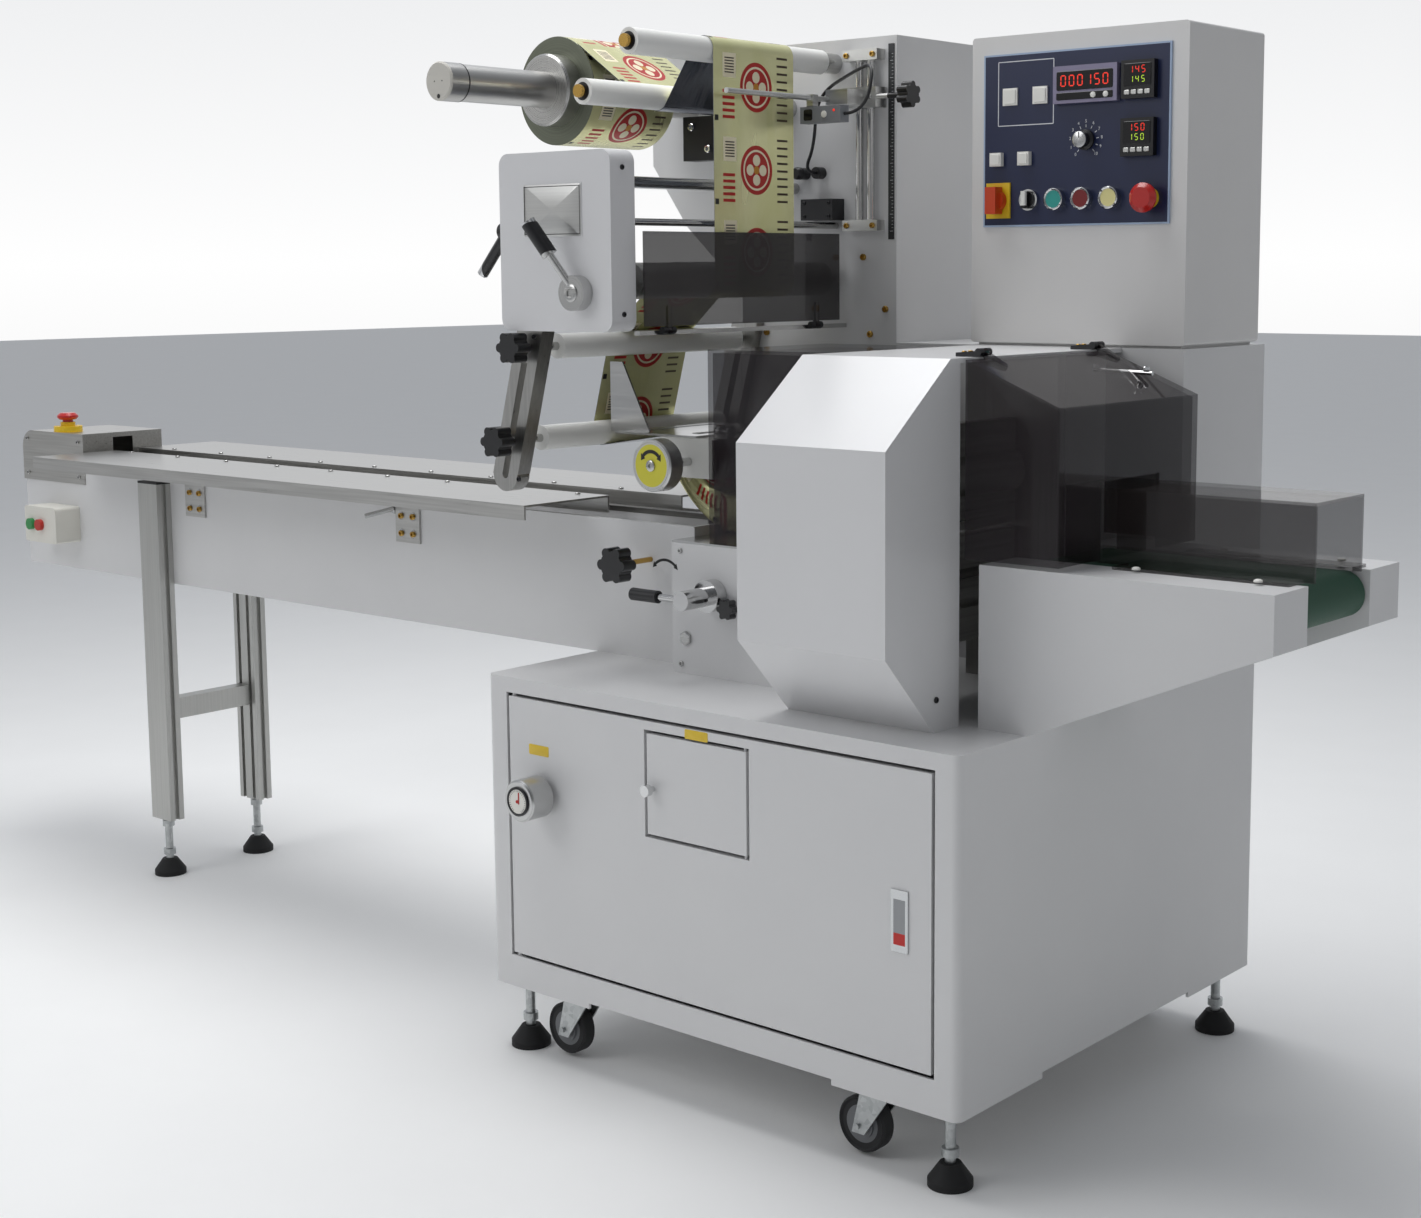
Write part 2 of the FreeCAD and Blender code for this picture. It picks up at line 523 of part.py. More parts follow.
def casters():
    """Pressed steel forks under the pan, with plate, race and axle, and the wheels in them."""
    crown_foot = f"{PAN} - 2 * fork_sheet - fork_race_height"
    half = f"({CHEEK} + fork_sheet)"
    bore = "axle_radius + running_play"
    tread = [
        (bore, "0"),
        ("wheel_radius / 2", "0"),
        ("wheel_radius / 2", "fork_sheet"),
        ("wheel_radius - 2 * fork_sheet", "fork_sheet"),
        ("wheel_radius - fork_sheet", "0"),
        ("wheel_radius", "fork_sheet"),
        ("wheel_radius", "wheel_width - fork_sheet"),
        ("wheel_radius - fork_sheet", "wheel_width"),
        ("wheel_radius - 2 * fork_sheet", "wheel_width - fork_sheet"),
        ("wheel_radius / 2", "wheel_width - fork_sheet"),
        ("wheel_radius / 2", "wheel_width"),
        (bore, "wheel_width"),
    ]
    forks = []
    for name, (x, y) in CASTERS.items():
        plate = block(f"{name}_plate", f"{x} - fork_plate_length / 2", f"{y} - fork_plate_width / 2",
                      f"{PAN} - fork_sheet", "fork_plate_length", "fork_plate_width", "fork_sheet")
        race = rod(f"{name}_race", x, y, f"{PAN} - fork_sheet - fork_race_height",
                   "fork_race_radius", "fork_race_height")
        crown = block(f"{name}_crown", f"{x} - caster_trail + fork_end / 2", f"{y} - {half}",
                      crown_foot, "caster_trail + fork_race_radius - fork_end / 2",
                      f"2 * {half}", "fork_sheet")
        cheek = [
            ("-caster_trail - fork_end", f"{AXLE_Z} - fork_end"),
            ("-caster_trail + fork_end", f"{AXLE_Z} - fork_end"),
            ("fork_race_radius", crown_foot),
            ("fork_race_radius", f"{crown_foot} + fork_sheet"),
            ("-caster_trail + fork_end / 2", f"{crown_foot} + fork_sheet"),
        ]
        near = prism(f"{name}_near_cheek", "XZ", cheek, "fork_sheet", x, f"{y} - {half}", 0)
        far = prism(f"{name}_far_cheek", "XZ", cheek, "fork_sheet", x, f"{y} + {CHEEK}", 0)
        axle = rod(f"{name}_axle", f"{x} - caster_trail", f"{y} - {half} - axle_head", AXLE_Z,
                   "axle_radius", f"2 * ({half} + axle_head)", ALONG_Y)
        forks.append(joined(f"{name}_fork", plate, race, crown, near, far, axle))
        wheel = turned(f"{name}_tread", tread, f"{x} - caster_trail", f"{y} - wheel_width / 2",
                       AXLE_Z, ALONG_Y)
        part(f"caster_wheel_{name}", wheel)
    part("caster_forks", together("forks", *forks))


# ---------------------------------------------------------------- infeed conveyor

START = left("(cabinet_length + infeed_reach)")
FRAME_START = f"({START} + case_sheet)"


def infeed_frame():
    """White folded channel, with the trough floor and the chain's rail across its top."""
    length = f"({left('frame_right')} - {FRAME_START})"
    outside = block("frame_outside", FRAME_START, FRAME_NEAR, "cabinet_top", length,
                    "frame_width", "frame_top - cabinet_top")
    inside = block("frame_inside", f"{FRAME_START} + frame_sheet", f"{FRAME_NEAR} + frame_sheet",
                   "cabinet_top + frame_sheet", f"{length} - 2 * frame_sheet",
                   "frame_width - 2 * frame_sheet", "frame_top - cabinet_top")
    floor = block("trough_plate", left("(infeed_reach + cabinet_length - trough_inset)"),
                  f"{FRAME_NEAR} + frame_sheet",
                  "trough_floor - trough_sheet",
                  "(infeed_reach + cabinet_length - trough_inset) - trough_end",
                  "frame_width - 2 * frame_sheet", "trough_sheet")
    rail = block("chain_rail", left("(infeed_reach + cabinet_length - trough_inset)"),
                 f"{LINE} - rail_width / 2", "trough_floor",
                 "(infeed_reach + cabinet_length - trough_inset) - trough_end", "rail_width",
                 "chain_top - chain_link - trough_floor")
    part("infeed_frame", joined("frame", cut("channel", outside, inside), floor, rail))


def leg_section(slotted):
    """Corners of an aluminium profile, grooved in its narrow sides and, if slotted, in front."""
    half = "leg_wide / 2"
    deep = "leg_deep / 2"
    groove = "leg_slot / 2"
    points = [(f"-{half}", f"-{deep}")]
    for middle in ("(-leg_wide / 4)", "(leg_wide / 4)") if slotted else ():
        points += [
            (f"{middle} - {groove}", f"-{deep}"),
            (f"{middle} - {groove}", f"-{deep} + leg_slot_depth"),
            (f"{middle} + {groove}", f"-{deep} + leg_slot_depth"),
            (f"{middle} + {groove}", f"-{deep}"),
        ]
    for sign, back in (("", "-"), ("-", "+")):
        near, far = ("-", "") if sign == "" else ("", "-")
        points += [
            (f"{sign}{half}", f"{near}{deep}"),
            (f"{sign}{half}", f"{near}{groove}"),
            (f"{sign}{half} {back} leg_slot_depth", f"{near}{groove}"),
            (f"{sign}{half} {back} leg_slot_depth", f"{far}{groove}"),
            (f"{sign}{half}", f"{far}{groove}"),
        ]
        if sign == "":
            points.append((half, deep))
    return points


def infeed_legs():
    """Two aluminium posts and a crossbar under the far end of the infeed, and their caps."""
    foot = f"({PAN})"
    posts = [
        prism(f"leg_{i}", "XY", leg_section(slotted), f"leg_top - {foot}", LEG_X, y, foot)
        for i, (y, slotted) in enumerate(((LEG_NEAR, False), (LEG_FAR, True)), 1)
    ]
    bar = block("crossbar", f"{LEG_X} - bar_wide / 2", FRAME_NEAR, "bar_foot", "bar_wide",
                "frame_width", "bar_height")
    caps = [
        block(f"leg_cap_{i}", f"{LEG_X} - leg_wide / 2", f"{y} - leg_deep / 2", "leg_top",
              "leg_wide", "leg_deep", "leg_cap")
        for i, y in enumerate((LEG_NEAR, LEG_FAR), 1)
    ]
    part("infeed_legs", joined("legs", *posts, bar, *caps))


def guide(side):
    """One folded product guide: a table flange, its outer lip, its inner wall and two brackets."""
    front = side == "front"
    start = left(f"(infeed_reach + cabinet_length - {side}_guide_inset)")
    length = f"(infeed_reach + cabinet_length - {side}_guide_inset) - {side}_guide_end"
    outer = behind("(line_in - guide_reach)" if front else "(line_in + guide_reach)")
    inner = behind("(line_in - trough_half)" if front else "(line_in + trough_half)")
    low = outer if front else inner
    flange = block(f"{side}_flange", start, low, "table_top - guide_sheet", length,
                   "guide_reach - trough_half", "guide_sheet")
    lip = block(f"{side}_lip", start, outer if front else f"{outer} - guide_sheet",
                "table_top - lip_drop", length, "guide_sheet", "lip_drop")
    wall = block(f"{side}_wall", start, f"{inner} - guide_sheet" if front else inner,
                 "table_top - guide_wall_drop", length, "guide_sheet", "guide_wall_drop")
    face = f"{FRAME_NEAR} - bracket_sheet" if front else FRAME_FAR
    brackets = [
        block(f"{side}_{name}", left(name), face, "bracket_foot", "bracket_width",
              "bracket_sheet", "table_top - bracket_foot")
        for name in ("(infeed_reach + cabinet_length - bracket_first_inset)",
                     "(infeed_reach + cabinet_length - bracket_second_inset)")
    ]
    return joined(f"{side}_guide", flange, lip, wall, *brackets)


def product_guides():
    """The front and rear guides, one each side of the chain."""
    part("product_guides", together("guides", guide("front"), guide("rear")))


def stadium(name, x, z, length, height, depth, y):
    """A long round-ended bar lying along X, from its left end and foot."""
    radius = f"({height}) / 2"
    middle = block(f"{name}_middle", f"{x} + {radius}", y, z, f"{length} - ({height})", depth, height)
    ends = [
        rod(f"{name}_end_{i}", f"{x} + {offset}", y, f"{z} + {radius}", radius, depth, ALONG_Y)
        for i, offset in enumerate((radius, f"{length} - {radius}"), 1)
    ]
    return joined(name, middle, *ends)


def chain():
    """The conveyor chain as one closed loop, its top run lying on the rail."""
    length = "(infeed_reach + cabinet_length - chain_inset) - chain_end"
    y = f"{LINE} - chain_width / 2"
    foot = "chain_top - chain_height"
    outer = stadium("chain_outer", left("(infeed_reach + cabinet_length - chain_inset)"), foot, length,
                    "chain_height",
                    "chain_width", y)
    inner = stadium("chain_inner", left("(infeed_reach + cabinet_length - chain_inset)") + " + chain_link",
                    f"{foot} + chain_link",
                    f"({length} - 2 * chain_link)", "chain_height - 2 * chain_link",
                    "chain_width + 2", f"{y} - 1")
    part("infeed_chain", cut("chain", outer, inner))


def end_case():
    """Stainless case over the chain's far end, windowed to the right, with its stop button on top."""
    near = f"({FRAME_NEAR} - case_sheet)"
    case = prism("end_case_outside", "XZ",
                 [("0", "0"), ("end_case_length", "0"),
                  ("end_case_length", "end_case_top - end_case_foot"),
                  ("0", "end_case_top - end_case_foot")],
                 "frame_width + 2 * case_sheet", START, near, "end_case_foot")
    top = value("end_case_top - end_case_foot")

    def upper_left(edge):
        middle = edge.CenterOfMass
        return runs_along("y")(edge) and middle.x < 1 and middle.z > top - 1

    eased(case, "end_case_round", upper_left)
    channel = block("end_case_channel", FRAME_START, FRAME_NEAR, "end_case_foot - 1",
                    "end_case_length", "frame_width", "frame_top - end_case_foot + 1")
    room = prism("end_case_room", "XZ",
                 [("end_case_round / 2", "0"), ("end_case_length - case_sheet", "0"),
                  ("end_case_length - case_sheet", "end_case_top - frame_top - case_sheet"),
                  ("end_case_round", "end_case_top - frame_top - case_sheet"),
                  ("end_case_round / 2", "end_case_top - frame_top - end_case_round / 2")],
                 "frame_width", START, FRAME_NEAR, "frame_top - 1")
    window = block("end_case_window", f"{START} + end_case_length - 2 * case_sheet",
                   f"{LINE} - end_window_wide / 2", "frame_top - 1", "3 * case_sheet",
                   "end_window_wide", "end_window_top - frame_top + 1")
    x, y = left("(infeed_reach + cabinet_length - infeed_stop_inset)"), behind("infeed_stop_in")
    base = rod("infeed_stop_disc", x, y, "end_case_top", "stop_base_radius", "stop_base_height")
    top = "(end_case_top + stop_base_height)"
    part("end_case", joined("end_case_with_stop", cut("end_cover", case, channel, room, window),
                            base, stop_collar("infeed_stop", x, y, top, UP)))
    stop_button("infeed_stop_button", x, y, top, UP)


def switch_station():
    """The push-button station on the infeed's front, with its two buttons."""
    y = f"({FRAME_NEAR} - station_deep)"
    box = prism("station_box", "XZ",
                [("0", "0"), ("station_wide", "0"), ("station_wide", "station_height"),
                 ("0", "station_height")],
                "station_deep", left("(infeed_reach + cabinet_length - station_inset)"), y, "station_foot")
    eased(box, "station_round", runs_along("y"))
    buttons = [
        rod(name, left(name), f"{y} + 1", "station_foot + station_height / 2",
            "station_button_radius", "station_button_proud + 1", TO_FRONT)
        for name in ("(infeed_reach + cabinet_length - station_inset - green_inset)",
                     "(infeed_reach + cabinet_length - station_inset - red_inset)")
    ]
    part("switch_station", joined("station", box, *buttons))


def stop_button(label, x, y, z, turn):
    """A mushroom button, held off its collar by more than its travel, on a stem in the collar."""
    head = "(stop_collar + stop_gap)"
    part(label, turned(label + "_body", [
        ("0", "turning_gap + stop_gap"),
        ("stop_stem_radius", "turning_gap + stop_gap"),
        ("stop_stem_radius", head),
        ("stop_radius - 4", head),
        ("stop_radius", f"{head} + 4"),
        ("stop_radius", f"{head} + stop_cap - 5"),
        ("stop_radius - 6", f"{head} + stop_cap"),
        ("0", f"{head} + stop_cap"),
    ], x, y, z, turn))


def stop_collar(name, x, y, z, turn):
    """The ring that the stop button's stem slides in, closed at its foot."""
    ring = rod(f"{name}_ring", x, y, z, "stop_collar_radius", "stop_collar", turn)
    bore = rod(f"{name}_bore", x, y, z, "stop_stem_radius + 2 * running_play", "2 * stop_collar",
               turn)
    return cut(f"{name}_collar", ring, bore)


# ---------------------------------------------------------------- bed and forming section

def bed():
    """White bed casing under the former and the fin sealer."""
    part("bed_housing", block("bed", left("frame_right"), behind("bed_in"), "cabinet_top",
                              "frame_right - bed_right", "bed_width",
                              "bed_top - bed_plate - cabinet_top"))


def forming_section():
    """Stainless bed plate, ruler plate and shoulder, and the cast head that carries them."""
    plate = block("bed_top_plate", left("frame_right"), behind("bed_in"), "bed_top - bed_plate",
                  "frame_right - bed_right", "bed_width", "bed_plate")
    ruler = block("ruler_plate", left("ruler_left"), behind("ruler_in"), "head_top",
                  "ruler_left - ruler_right", "ruler_width", "ruler_sheet")
    shoulder = prism("shoulder_plate", "XZ", [
        (left("shoulder_left"), "head_top"),
        (left("shoulder_foot_right"), "head_top"),
        (left("shoulder_foot_right"), "head_top + ruler_sheet"),
        (left("shoulder_top_right"), "shoulder_top"),
        (left("shoulder_left"), "shoulder_top"),
    ], "guide_sheet", 0, behind("(film_near_in - guide_sheet - 1)"), 0)
    former = joined("former_plates", ruler, shoulder)
    part("forming_plates", together("forming", plate, former))
    length = "head_left - head_right"
    bridge = block("head_bridge", left("head_left"), behind("head_in"), "head_foot", length,
                   "head_width", "head_top - head_foot")
    post = block("head_post_block", left("head_left"), behind("(head_in + head_width - head_post)"),
                 "bed_top", length, "head_post", "head_foot - bed_top")
    part("forming_head", joined("head", bridge, post))


def handwheel():
    """Width handwheel with its disc, on its own spindle in front of the forming head."""
    reach = "head_in - handwheel_in"
    part("width_handwheel", turned("handwheel_body", [
        ("0", "0"),
        ("handwheel_radius - 2", "0"),
        ("handwheel_radius", "2"),
        ("handwheel_radius", "handwheel_depth - 2"),
        ("handwheel_radius - 2", "handwheel_depth"),
        ("spindle_radius", "handwheel_depth"),
        ("spindle_radius", f"{reach} - turning_gap"),
        ("0", f"{reach} - turning_gap"),
    ], left("handwheel_left"), behind("handwheel_in"), "handwheel_height", ALONG_Y))


def bed_lever():
    """Clamp lever of the fin sealer: a round nut, an arm to the left and a black grip."""
    x, y = left("lever_left"), behind("bed_in")
    hub = turned("lever_hub", [
        ("0", "turning_gap"),
        ("lever_nut_radius", "turning_gap"),
        ("lever_nut_radius", "lever_nut"),
        ("lever_hub_radius", "lever_nut"),
        ("lever_hub_radius", "lever_reach"),
        ("0", "lever_reach"),
    ], x, y, "lever_height", TO_FRONT)
    arm_y = f"{y} - lever_reach + lever_grip_radius"
    arm = rod("lever_bar", x, arm_y, "lever_height", "lever_arm_radius", "lever_arm", TO_LEFT)
    grip = rod("lever_grip_rod", left("(lever_left + lever_arm - 5)"), arm_y, "lever_height",
               "lever_grip_radius", "lever_grip", TO_LEFT)
    part("bed_lever", joined("clamp_lever", hub, arm, grip))


def star(name, x, y, z, radius, depth, reach, turn):
    """A star knob of six lobes, its foot at the given point and its rod reaching back from it."""
    core = rod(f"{name}_core", x, y, z, f"{radius} * 0.75", depth, turn)
    lobes = []
    for i in range(6):
        angle = math.radians(60 * i)
        across = turn.multVec(Vector(math.cos(angle), math.sin(angle), 0))
        spots = [
            f"{start} + {radius} * 0.72 * ({share:.6f})"
            for start, share in zip((x, y, z), (across.x, across.y, across.z))
        ]
        lobes.append(rod(f"{name}_lobe_{i}", *spots, f"{radius} * 0.28", depth, turn))
    step = turn.multVec(Vector(0, 0, 1))
    back = [
        f"{start} - ({reach}) * ({share:.0f})"
        for start, share in zip((x, y, z), (step.x, step.y, step.z))
    ]
    stem = rod(f"{name}_stem", *back, "star_rod_radius", f"{reach} + 1", turn)
    return joined(name, core, stem, *lobes)


def clamps():
    """The star knobs, ratchet lever and small catch that stay clamped in use."""
    bed_star = star("bed_star", left("star_left"), behind("(star_in + star_depth)"), "star_height",
                    "star_radius", "star_depth",
                    "line_in - frame_width / 2 - star_in - star_depth", TO_FRONT)
    small = star("small_star", left("small_star_left"), behind("(bed_in - small_star_stand)"),
                 "small_star_height", "small_star_radius", "small_star_depth",
                 "small_star_stand", TO_FRONT)
    arm_stars = [
        star(f"arm_star_{i}", x, behind("(arm_knob_in + star_depth)"), z, "(star_radius - 4.5)",
             "star_depth", "arm_in - arm_knob_in - star_depth", TO_FRONT)
        for i, (x, z) in enumerate((roller_place(3), roller_place(4)), 1)
    ]
    hub = rod("ratchet_hub_rod", left("drive_left"), behind("ratchet_in"), "ratchet_height",
              "ratchet_radius", "ratchet_hub", TO_LEFT)
    handle = rod("ratchet_handle", left("(drive_left + ratchet_hub / 2)"), behind("ratchet_in"),
                 "ratchet_height", "ratchet_grip_radius",
                 "sqrt(ratchet_run * ratchet_run + ratchet_fall * ratchet_fall)",
                 pointing("-ratchet_run", "0", "-ratchet_fall"))
    catch = rod("catch_lever", left("(infeed_reach + cabinet_length - catch_inset)"),
                behind("(line_in - frame_width / 2 - catch_radius * 3 / 4)"), "(frame_top - catch_drop)",
                "catch_radius",
                "sqrt(catch_run * catch_run + catch_out * catch_out + catch_fall * catch_fall)",
                pointing("-catch_run", "-catch_out", "-catch_fall"))
    square = block("catch_foot", left("(infeed_reach + cabinet_length - catch_inset)") + " - catch_radius",
                   behind("(line_in - frame_width / 2)") + " - catch_radius",
                   "(frame_top - catch_drop) - 2 * catch_radius", "2 * catch_radius", "catch_radius",
                   "4 * catch_radius")
    part("clamp_knobs", together("clamps", bed_star, small, *arm_stars,
                                 joined("ratchet", hub, handle), joined("catch", catch, square)))


# ---------------------------------------------------------------- end sealer

def seal_cover():
    """White hood in front of the sealing jaws, open behind, and the roof plate behind it."""
    length = "hood_left - hood_right"
    outer = [
        (behind("hood_in"), "cabinet_top"),
        (behind("hood_foot_in"), "cabinet_top"),
        (f"{FRONT} - hood_front", "hood_crease_low"),
        (f"{FRONT} - hood_front", "hood_crease_high"),
        (behind("hood_top_in"), "hood_top"),
        (behind("hood_in"), "hood_top"),
    ]
    inner = [
        (behind("hood_in") + " + 1", "cabinet_top + hood_sheet"),
        (behind("hood_foot_in") + " + hood_sheet / 2", "cabinet_top + hood_sheet"),
        (f"{FRONT} - hood_front + hood_sheet", "hood_crease_low + hood_sheet / 2"),
        (f"{FRONT} - hood_front + hood_sheet", "hood_crease_high - hood_sheet / 2"),
        (behind("hood_top_in") + " + hood_sheet / 2", "hood_top - hood_sheet"),
        (behind("hood_in") + " + 1", "hood_top - hood_sheet"),
    ]
    shell = prism("hood_outside", "YZ", outer, length, left("hood_left"), 0, 0)
    hollow = prism("hood_inside", "YZ", inner, f"{length} - 2 * hood_sheet",
                   left("hood_left") + " + hood_sheet", 0, 0)
    roof = block("hood_roof", left("hood_left"), behind("hood_in"), "hood_top - roof_sheet",
                 length, "housing_in - hood_in", "roof_sheet")
    part("seal_cover", joined("hood", cut("hood_shell", shell, hollow), roof))


def seal_frame():
    """Two bearing plates between the cabinet and the roof, bored for the jaw shafts."""
    plates = [
        block(f"seal_plate_{i}", left("seal_left"), behind(name), "cabinet_top", "seal_wide",
              "seal_plate", "hood_top - roof_sheet - cabinet_top")
        for i, name in enumerate(("seal_near_in", "seal_far_in"), 1)
    ]
    bores = [
        rod(f"{name}_bore", left("jaw_left"), behind("(seal_near_in - 1)"), name,
            "jaw_shaft_radius + running_play", "seal_far_in + seal_plate - seal_near_in + 2",
            ALONG_Y)
        for name in ("jaw_high", "jaw_low")
    ]
    frame = together("seal_plates", *plates)
    part("seal_frame", cut("seal_bearings", frame, *bores))


def jaw(label, height):
    """One rotary sealing jaw: a shaft through both plates, a hub and a bar across it."""
    near = behind("(seal_near_in + 2)")
    span = "seal_far_in - seal_near_in - seal_plate - 2 * jaw_side_gap"
    face = behind("(seal_near_in + seal_plate + jaw_side_gap)")
    shaft = rod(f"{label}_shaft", left("jaw_left"), near, height, "jaw_shaft_radius",
                "seal_far_in + seal_plate - seal_near_in - 4", ALONG_Y)
    hub = rod(f"{label}_hub", left("jaw_left"), face, height, "jaw_hub_radius", span, ALONG_Y)
    bar = block(f"{label}_bar", left("jaw_left") + " - jaw_thickness / 2", face,
                f"{height} - jaw_reach", "jaw_thickness", span, "2 * jaw_reach")
    tips = rod(f"{label}_sweep", left("jaw_left"), face, height, "jaw_reach", span, ALONG_Y)
    trimmed = doc.addObject("Part::MultiCommon", f"{label}_trimmed")
    trimmed.Shapes = [bar, tips]
    part(label, joined(f"{label}_body", shaft, hub, trimmed))


def knuckles(name, x, y, z):
    """The fixed knuckles of a hinge and the pin that joins them."""
    rings = [
        rod(f"{name}_knuckle_{i}", x, f"{y} + {offset}", z, "knuckle_radius", "knuckle", ALONG_Y)
        for i, offset in enumerate(("0", "2 * knuckle + 2 * knuckle_gap"), 1)
    ]
    pin = rod(f"{name}_pin", x, y, z, "pin_radius", "3 * knuckle + 2 * knuckle_gap", ALONG_Y)
    return rings + [pin]


def middle_knuckle(name, x, y, z):
    """The moving knuckle of a hinge, and the bore that its pin runs in."""
    start = f"{y} + knuckle + knuckle_gap"
    ring = rod(f"{name}_middle", x, start, z, "knuckle_radius", "knuckle", ALONG_Y)
    bore = rod(f"{name}_middle_bore", x, f"{start} - 1", z, "pin_radius + running_play",
               "knuckle + 2", ALONG_Y)
    return ring, bore, start


HINGE = "(3 * knuckle + 2 * knuckle_gap)"


def cover_hinges():
    """The fixed halves of both covers' hinges, on the roof plate and on the hinge bar."""
    halves = []
    for i, name in enumerate(("cover_hinge_first_in", "cover_hinge_second_in"), 1):
        x, y = left("cover_axis_left"), behind(name)
        leaf = prism(f"roof_leaf_{i}", "XZ", [
            (left("(cover_axis_left + leaf)"), "hood_top"),
            (left("(cover_axis_left + 1)"), "hood_top"),
            (left("cover_axis_left"), "cover_axis_height - 1"),
            (left("cover_axis_left"), "cover_axis_height + 2"),
            (left("(cover_axis_left + knuckle)"), "cover_axis_height + 1"),
            (left("(cover_axis_left + leaf)"), "hood_top + leaf_sheet"),
        ], HINGE, 0, y, 0)
        room = rod(f"roof_room_{i}", x, f"{y} + knuckle", "cover_axis_height",
                   "knuckle_radius + 1", "knuckle + 2 * knuckle_gap", ALONG_Y)
        halves.append(joined(f"roof_hinge_{i}", cut(f"roof_leaf_cut_{i}", leaf, room),
                             *knuckles(f"roof_{i}", x, y, "cover_axis_height")))
    for i, name in enumerate(("film_hinge_first_in", "film_hinge_second_in"), 1):
        x, y = FILM_AXIS, behind(name)
        leaf = block(f"bar_leaf_{i}", left("hinge_bar_left") + " + hinge_bar_wide", y,
                     "film_cover_axis_height - hinge_bar_sheet",
                     f"{FILM_AXIS} - ({left('hinge_bar_left')} + hinge_bar_wide)", HINGE,
                     "hinge_bar_sheet")
        room = rod(f"bar_room_{i}", x, f"{y} + knuckle", "film_cover_axis_height",
                   "knuckle_radius + 1", "knuckle + 2 * knuckle_gap", ALONG_Y)
        halves.append(joined(f"bar_hinge_{i}", cut(f"bar_leaf_cut_{i}", leaf, room),
                             *knuckles(f"bar_{i}", x, y, "film_cover_axis_height")))
    part("cover_hinges", together("hinges", *halves))


FILM_AXIS = left("(film_cover_left - film_cover_sheet / 2)")


def exit_cover():
    """Smoked cover over the jaws' exit, open to the left and below, gated in its right wall."""
    outer = [
        (left("cover_left"), "cover_foot"),
        (right("cover_right"), "cover_foot"),
        (right("cover_right"), "cover_crease"),
        (left("cover_left"), "cover_top"),
    ]
    inner = [
        (left("cover_left") + " - 1", "cover_foot - 1"),
        (right("cover_right") + " - guard_sheet", "cover_foot - 1"),
        (right("cover_right") + " - guard_sheet", "cover_crease - guard_sheet * 0.7"),
        (left("cover_left") + " - 1", "cover_top - guard_sheet"),
    ]
    shell = prism("cover_outside", "XZ", outer, "cover_width", 0, behind("cover_in"), 0)
    hollow = prism("cover_inside", "XZ", inner, "cover_width - 2 * guard_sheet", 0,
                   behind("(cover_in + guard_sheet)"), 0)
    gate = block("cover_gate", right("cover_right") + " - 2 * guard_sheet", f"{LINE} - gate_half",
                 "cover_foot - 1", "3 * guard_sheet", "2 * gate_half", "gate_top - cover_foot + 1")
    shapes = [cut("cover_shell", shell, hollow, gate)]
    bores = []
    for i, name in enumerate(("cover_hinge_first_in", "cover_hinge_second_in"), 1):
        x, y = left("cover_axis_left"), behind(name)
        ring, bore, start = middle_knuckle(f"cover_{i}", x, y, "cover_axis_height")
        leaf = prism(f"cover_leaf_{i}", "XZ", [
            (left("cover_axis_left"), "cover_axis_height - 4"),
            (left("cover_left"), "cover_top - 2"),
            (left("(cover_axis_left - leaf)"), "cover_top - 14"),
            (left("(cover_axis_left - leaf)"), "cover_top - 7"),
            (left("cover_left"), "cover_axis_height + 1"),
            (left("cover_axis_left"), "cover_axis_height + 4"),
        ], "knuckle", 0, start, 0)
        shapes += [ring, leaf]
        bores.append(bore)
    part("exit_cover", cut("cover", joined("cover_with_hinges", *shapes), *bores))


def feed_guard():
    """Smoked box over the fin sealer, open below and towards the jaws, gated for the film."""
    width = "bed_width"
    near = behind("bed_in")
    outside = block("guard_outside", left("feed_guard_left"), near, "bed_top",
                    "feed_guard_left - hood_left", width, "hood_top - bed_top")
    inside = block("guard_inside", left("feed_guard_left") + " + guard_sheet",
                   f"{near} + guard_sheet", "bed_top - 1", "feed_guard_left - hood_left",
                   f"{width} - 2 * guard_sheet", "hood_top - bed_top - guard_sheet + 1")
    gate = block("guard_gate", left("feed_guard_left") + " - 1", f"{LINE} - feed_gate_half",
                 "bed_top - 1", "guard_sheet + 2", "2 * feed_gate_half",
                 "feed_gate_top - bed_top + 1")
    knob = rod("guard_knob_rod", left("feed_guard_left"), behind("guard_knob_in"),
               "guard_knob_height", "guard_knob_radius", "guard_knob_radius", TO_LEFT)
    part("feed_guard", joined("guard_with_knob", cut("guard", outside, inside, gate), knob))


# ---------------------------------------------------------------- rear housing, tower, controls

def housings():
    """The rear housing, the tower with its wing plate, and the control box on its base."""
    part("rear_housing", block("rear_box", left("cabinet_length"), behind("housing_in"),
                               "cabinet_top", "cabinet_length", "cabinet_depth - housing_in",
                               "hood_top - cabinet_top"))
    column = block("tower_column", left("tower_left"), behind("housing_in"), "hood_top",
                   "tower_left - tower_right", "cabinet_depth - housing_in",
                   "tower_top - hood_top")
    wing = prism("tower_wing", "XZ", [
        (left("tower_right"), "hood_top"),
        (left("tower_right"), "tower_top"),
        (left("wing_left"), "tower_top"),
        (left("wing_left"), "wing_foot"),
        (left("wing_slope_left"), "wing_slope_foot"),
        (left("tower_left"), "wing_neck"),
        (left("tower_left"), "hood_top"),
    ], "tower_plate", 0, behind("housing_in"), 0)
    part("tower", joined("tower_body", column, wing))
    box = prism("control_case", "XZ",
                [("0", "0"), ("case_left", "0"), ("case_left", "case_top - case_foot"),
                 ("0", "case_top - case_foot")],
                "case_depth", left("case_left"), behind("housing_in"), "case_foot")
    eased(box, "case_round", runs_along("y"))
    base = block("control_base", left("(case_left - case_base_inset)"),
                 behind("(housing_in + case_base_inset)"), "hood_top",
                 "case_left - 2 * case_base_inset", "case_depth - 2 * case_base_inset",
                 "case_foot - hood_top")
    part("control_box", joined("control_housing", box, base))


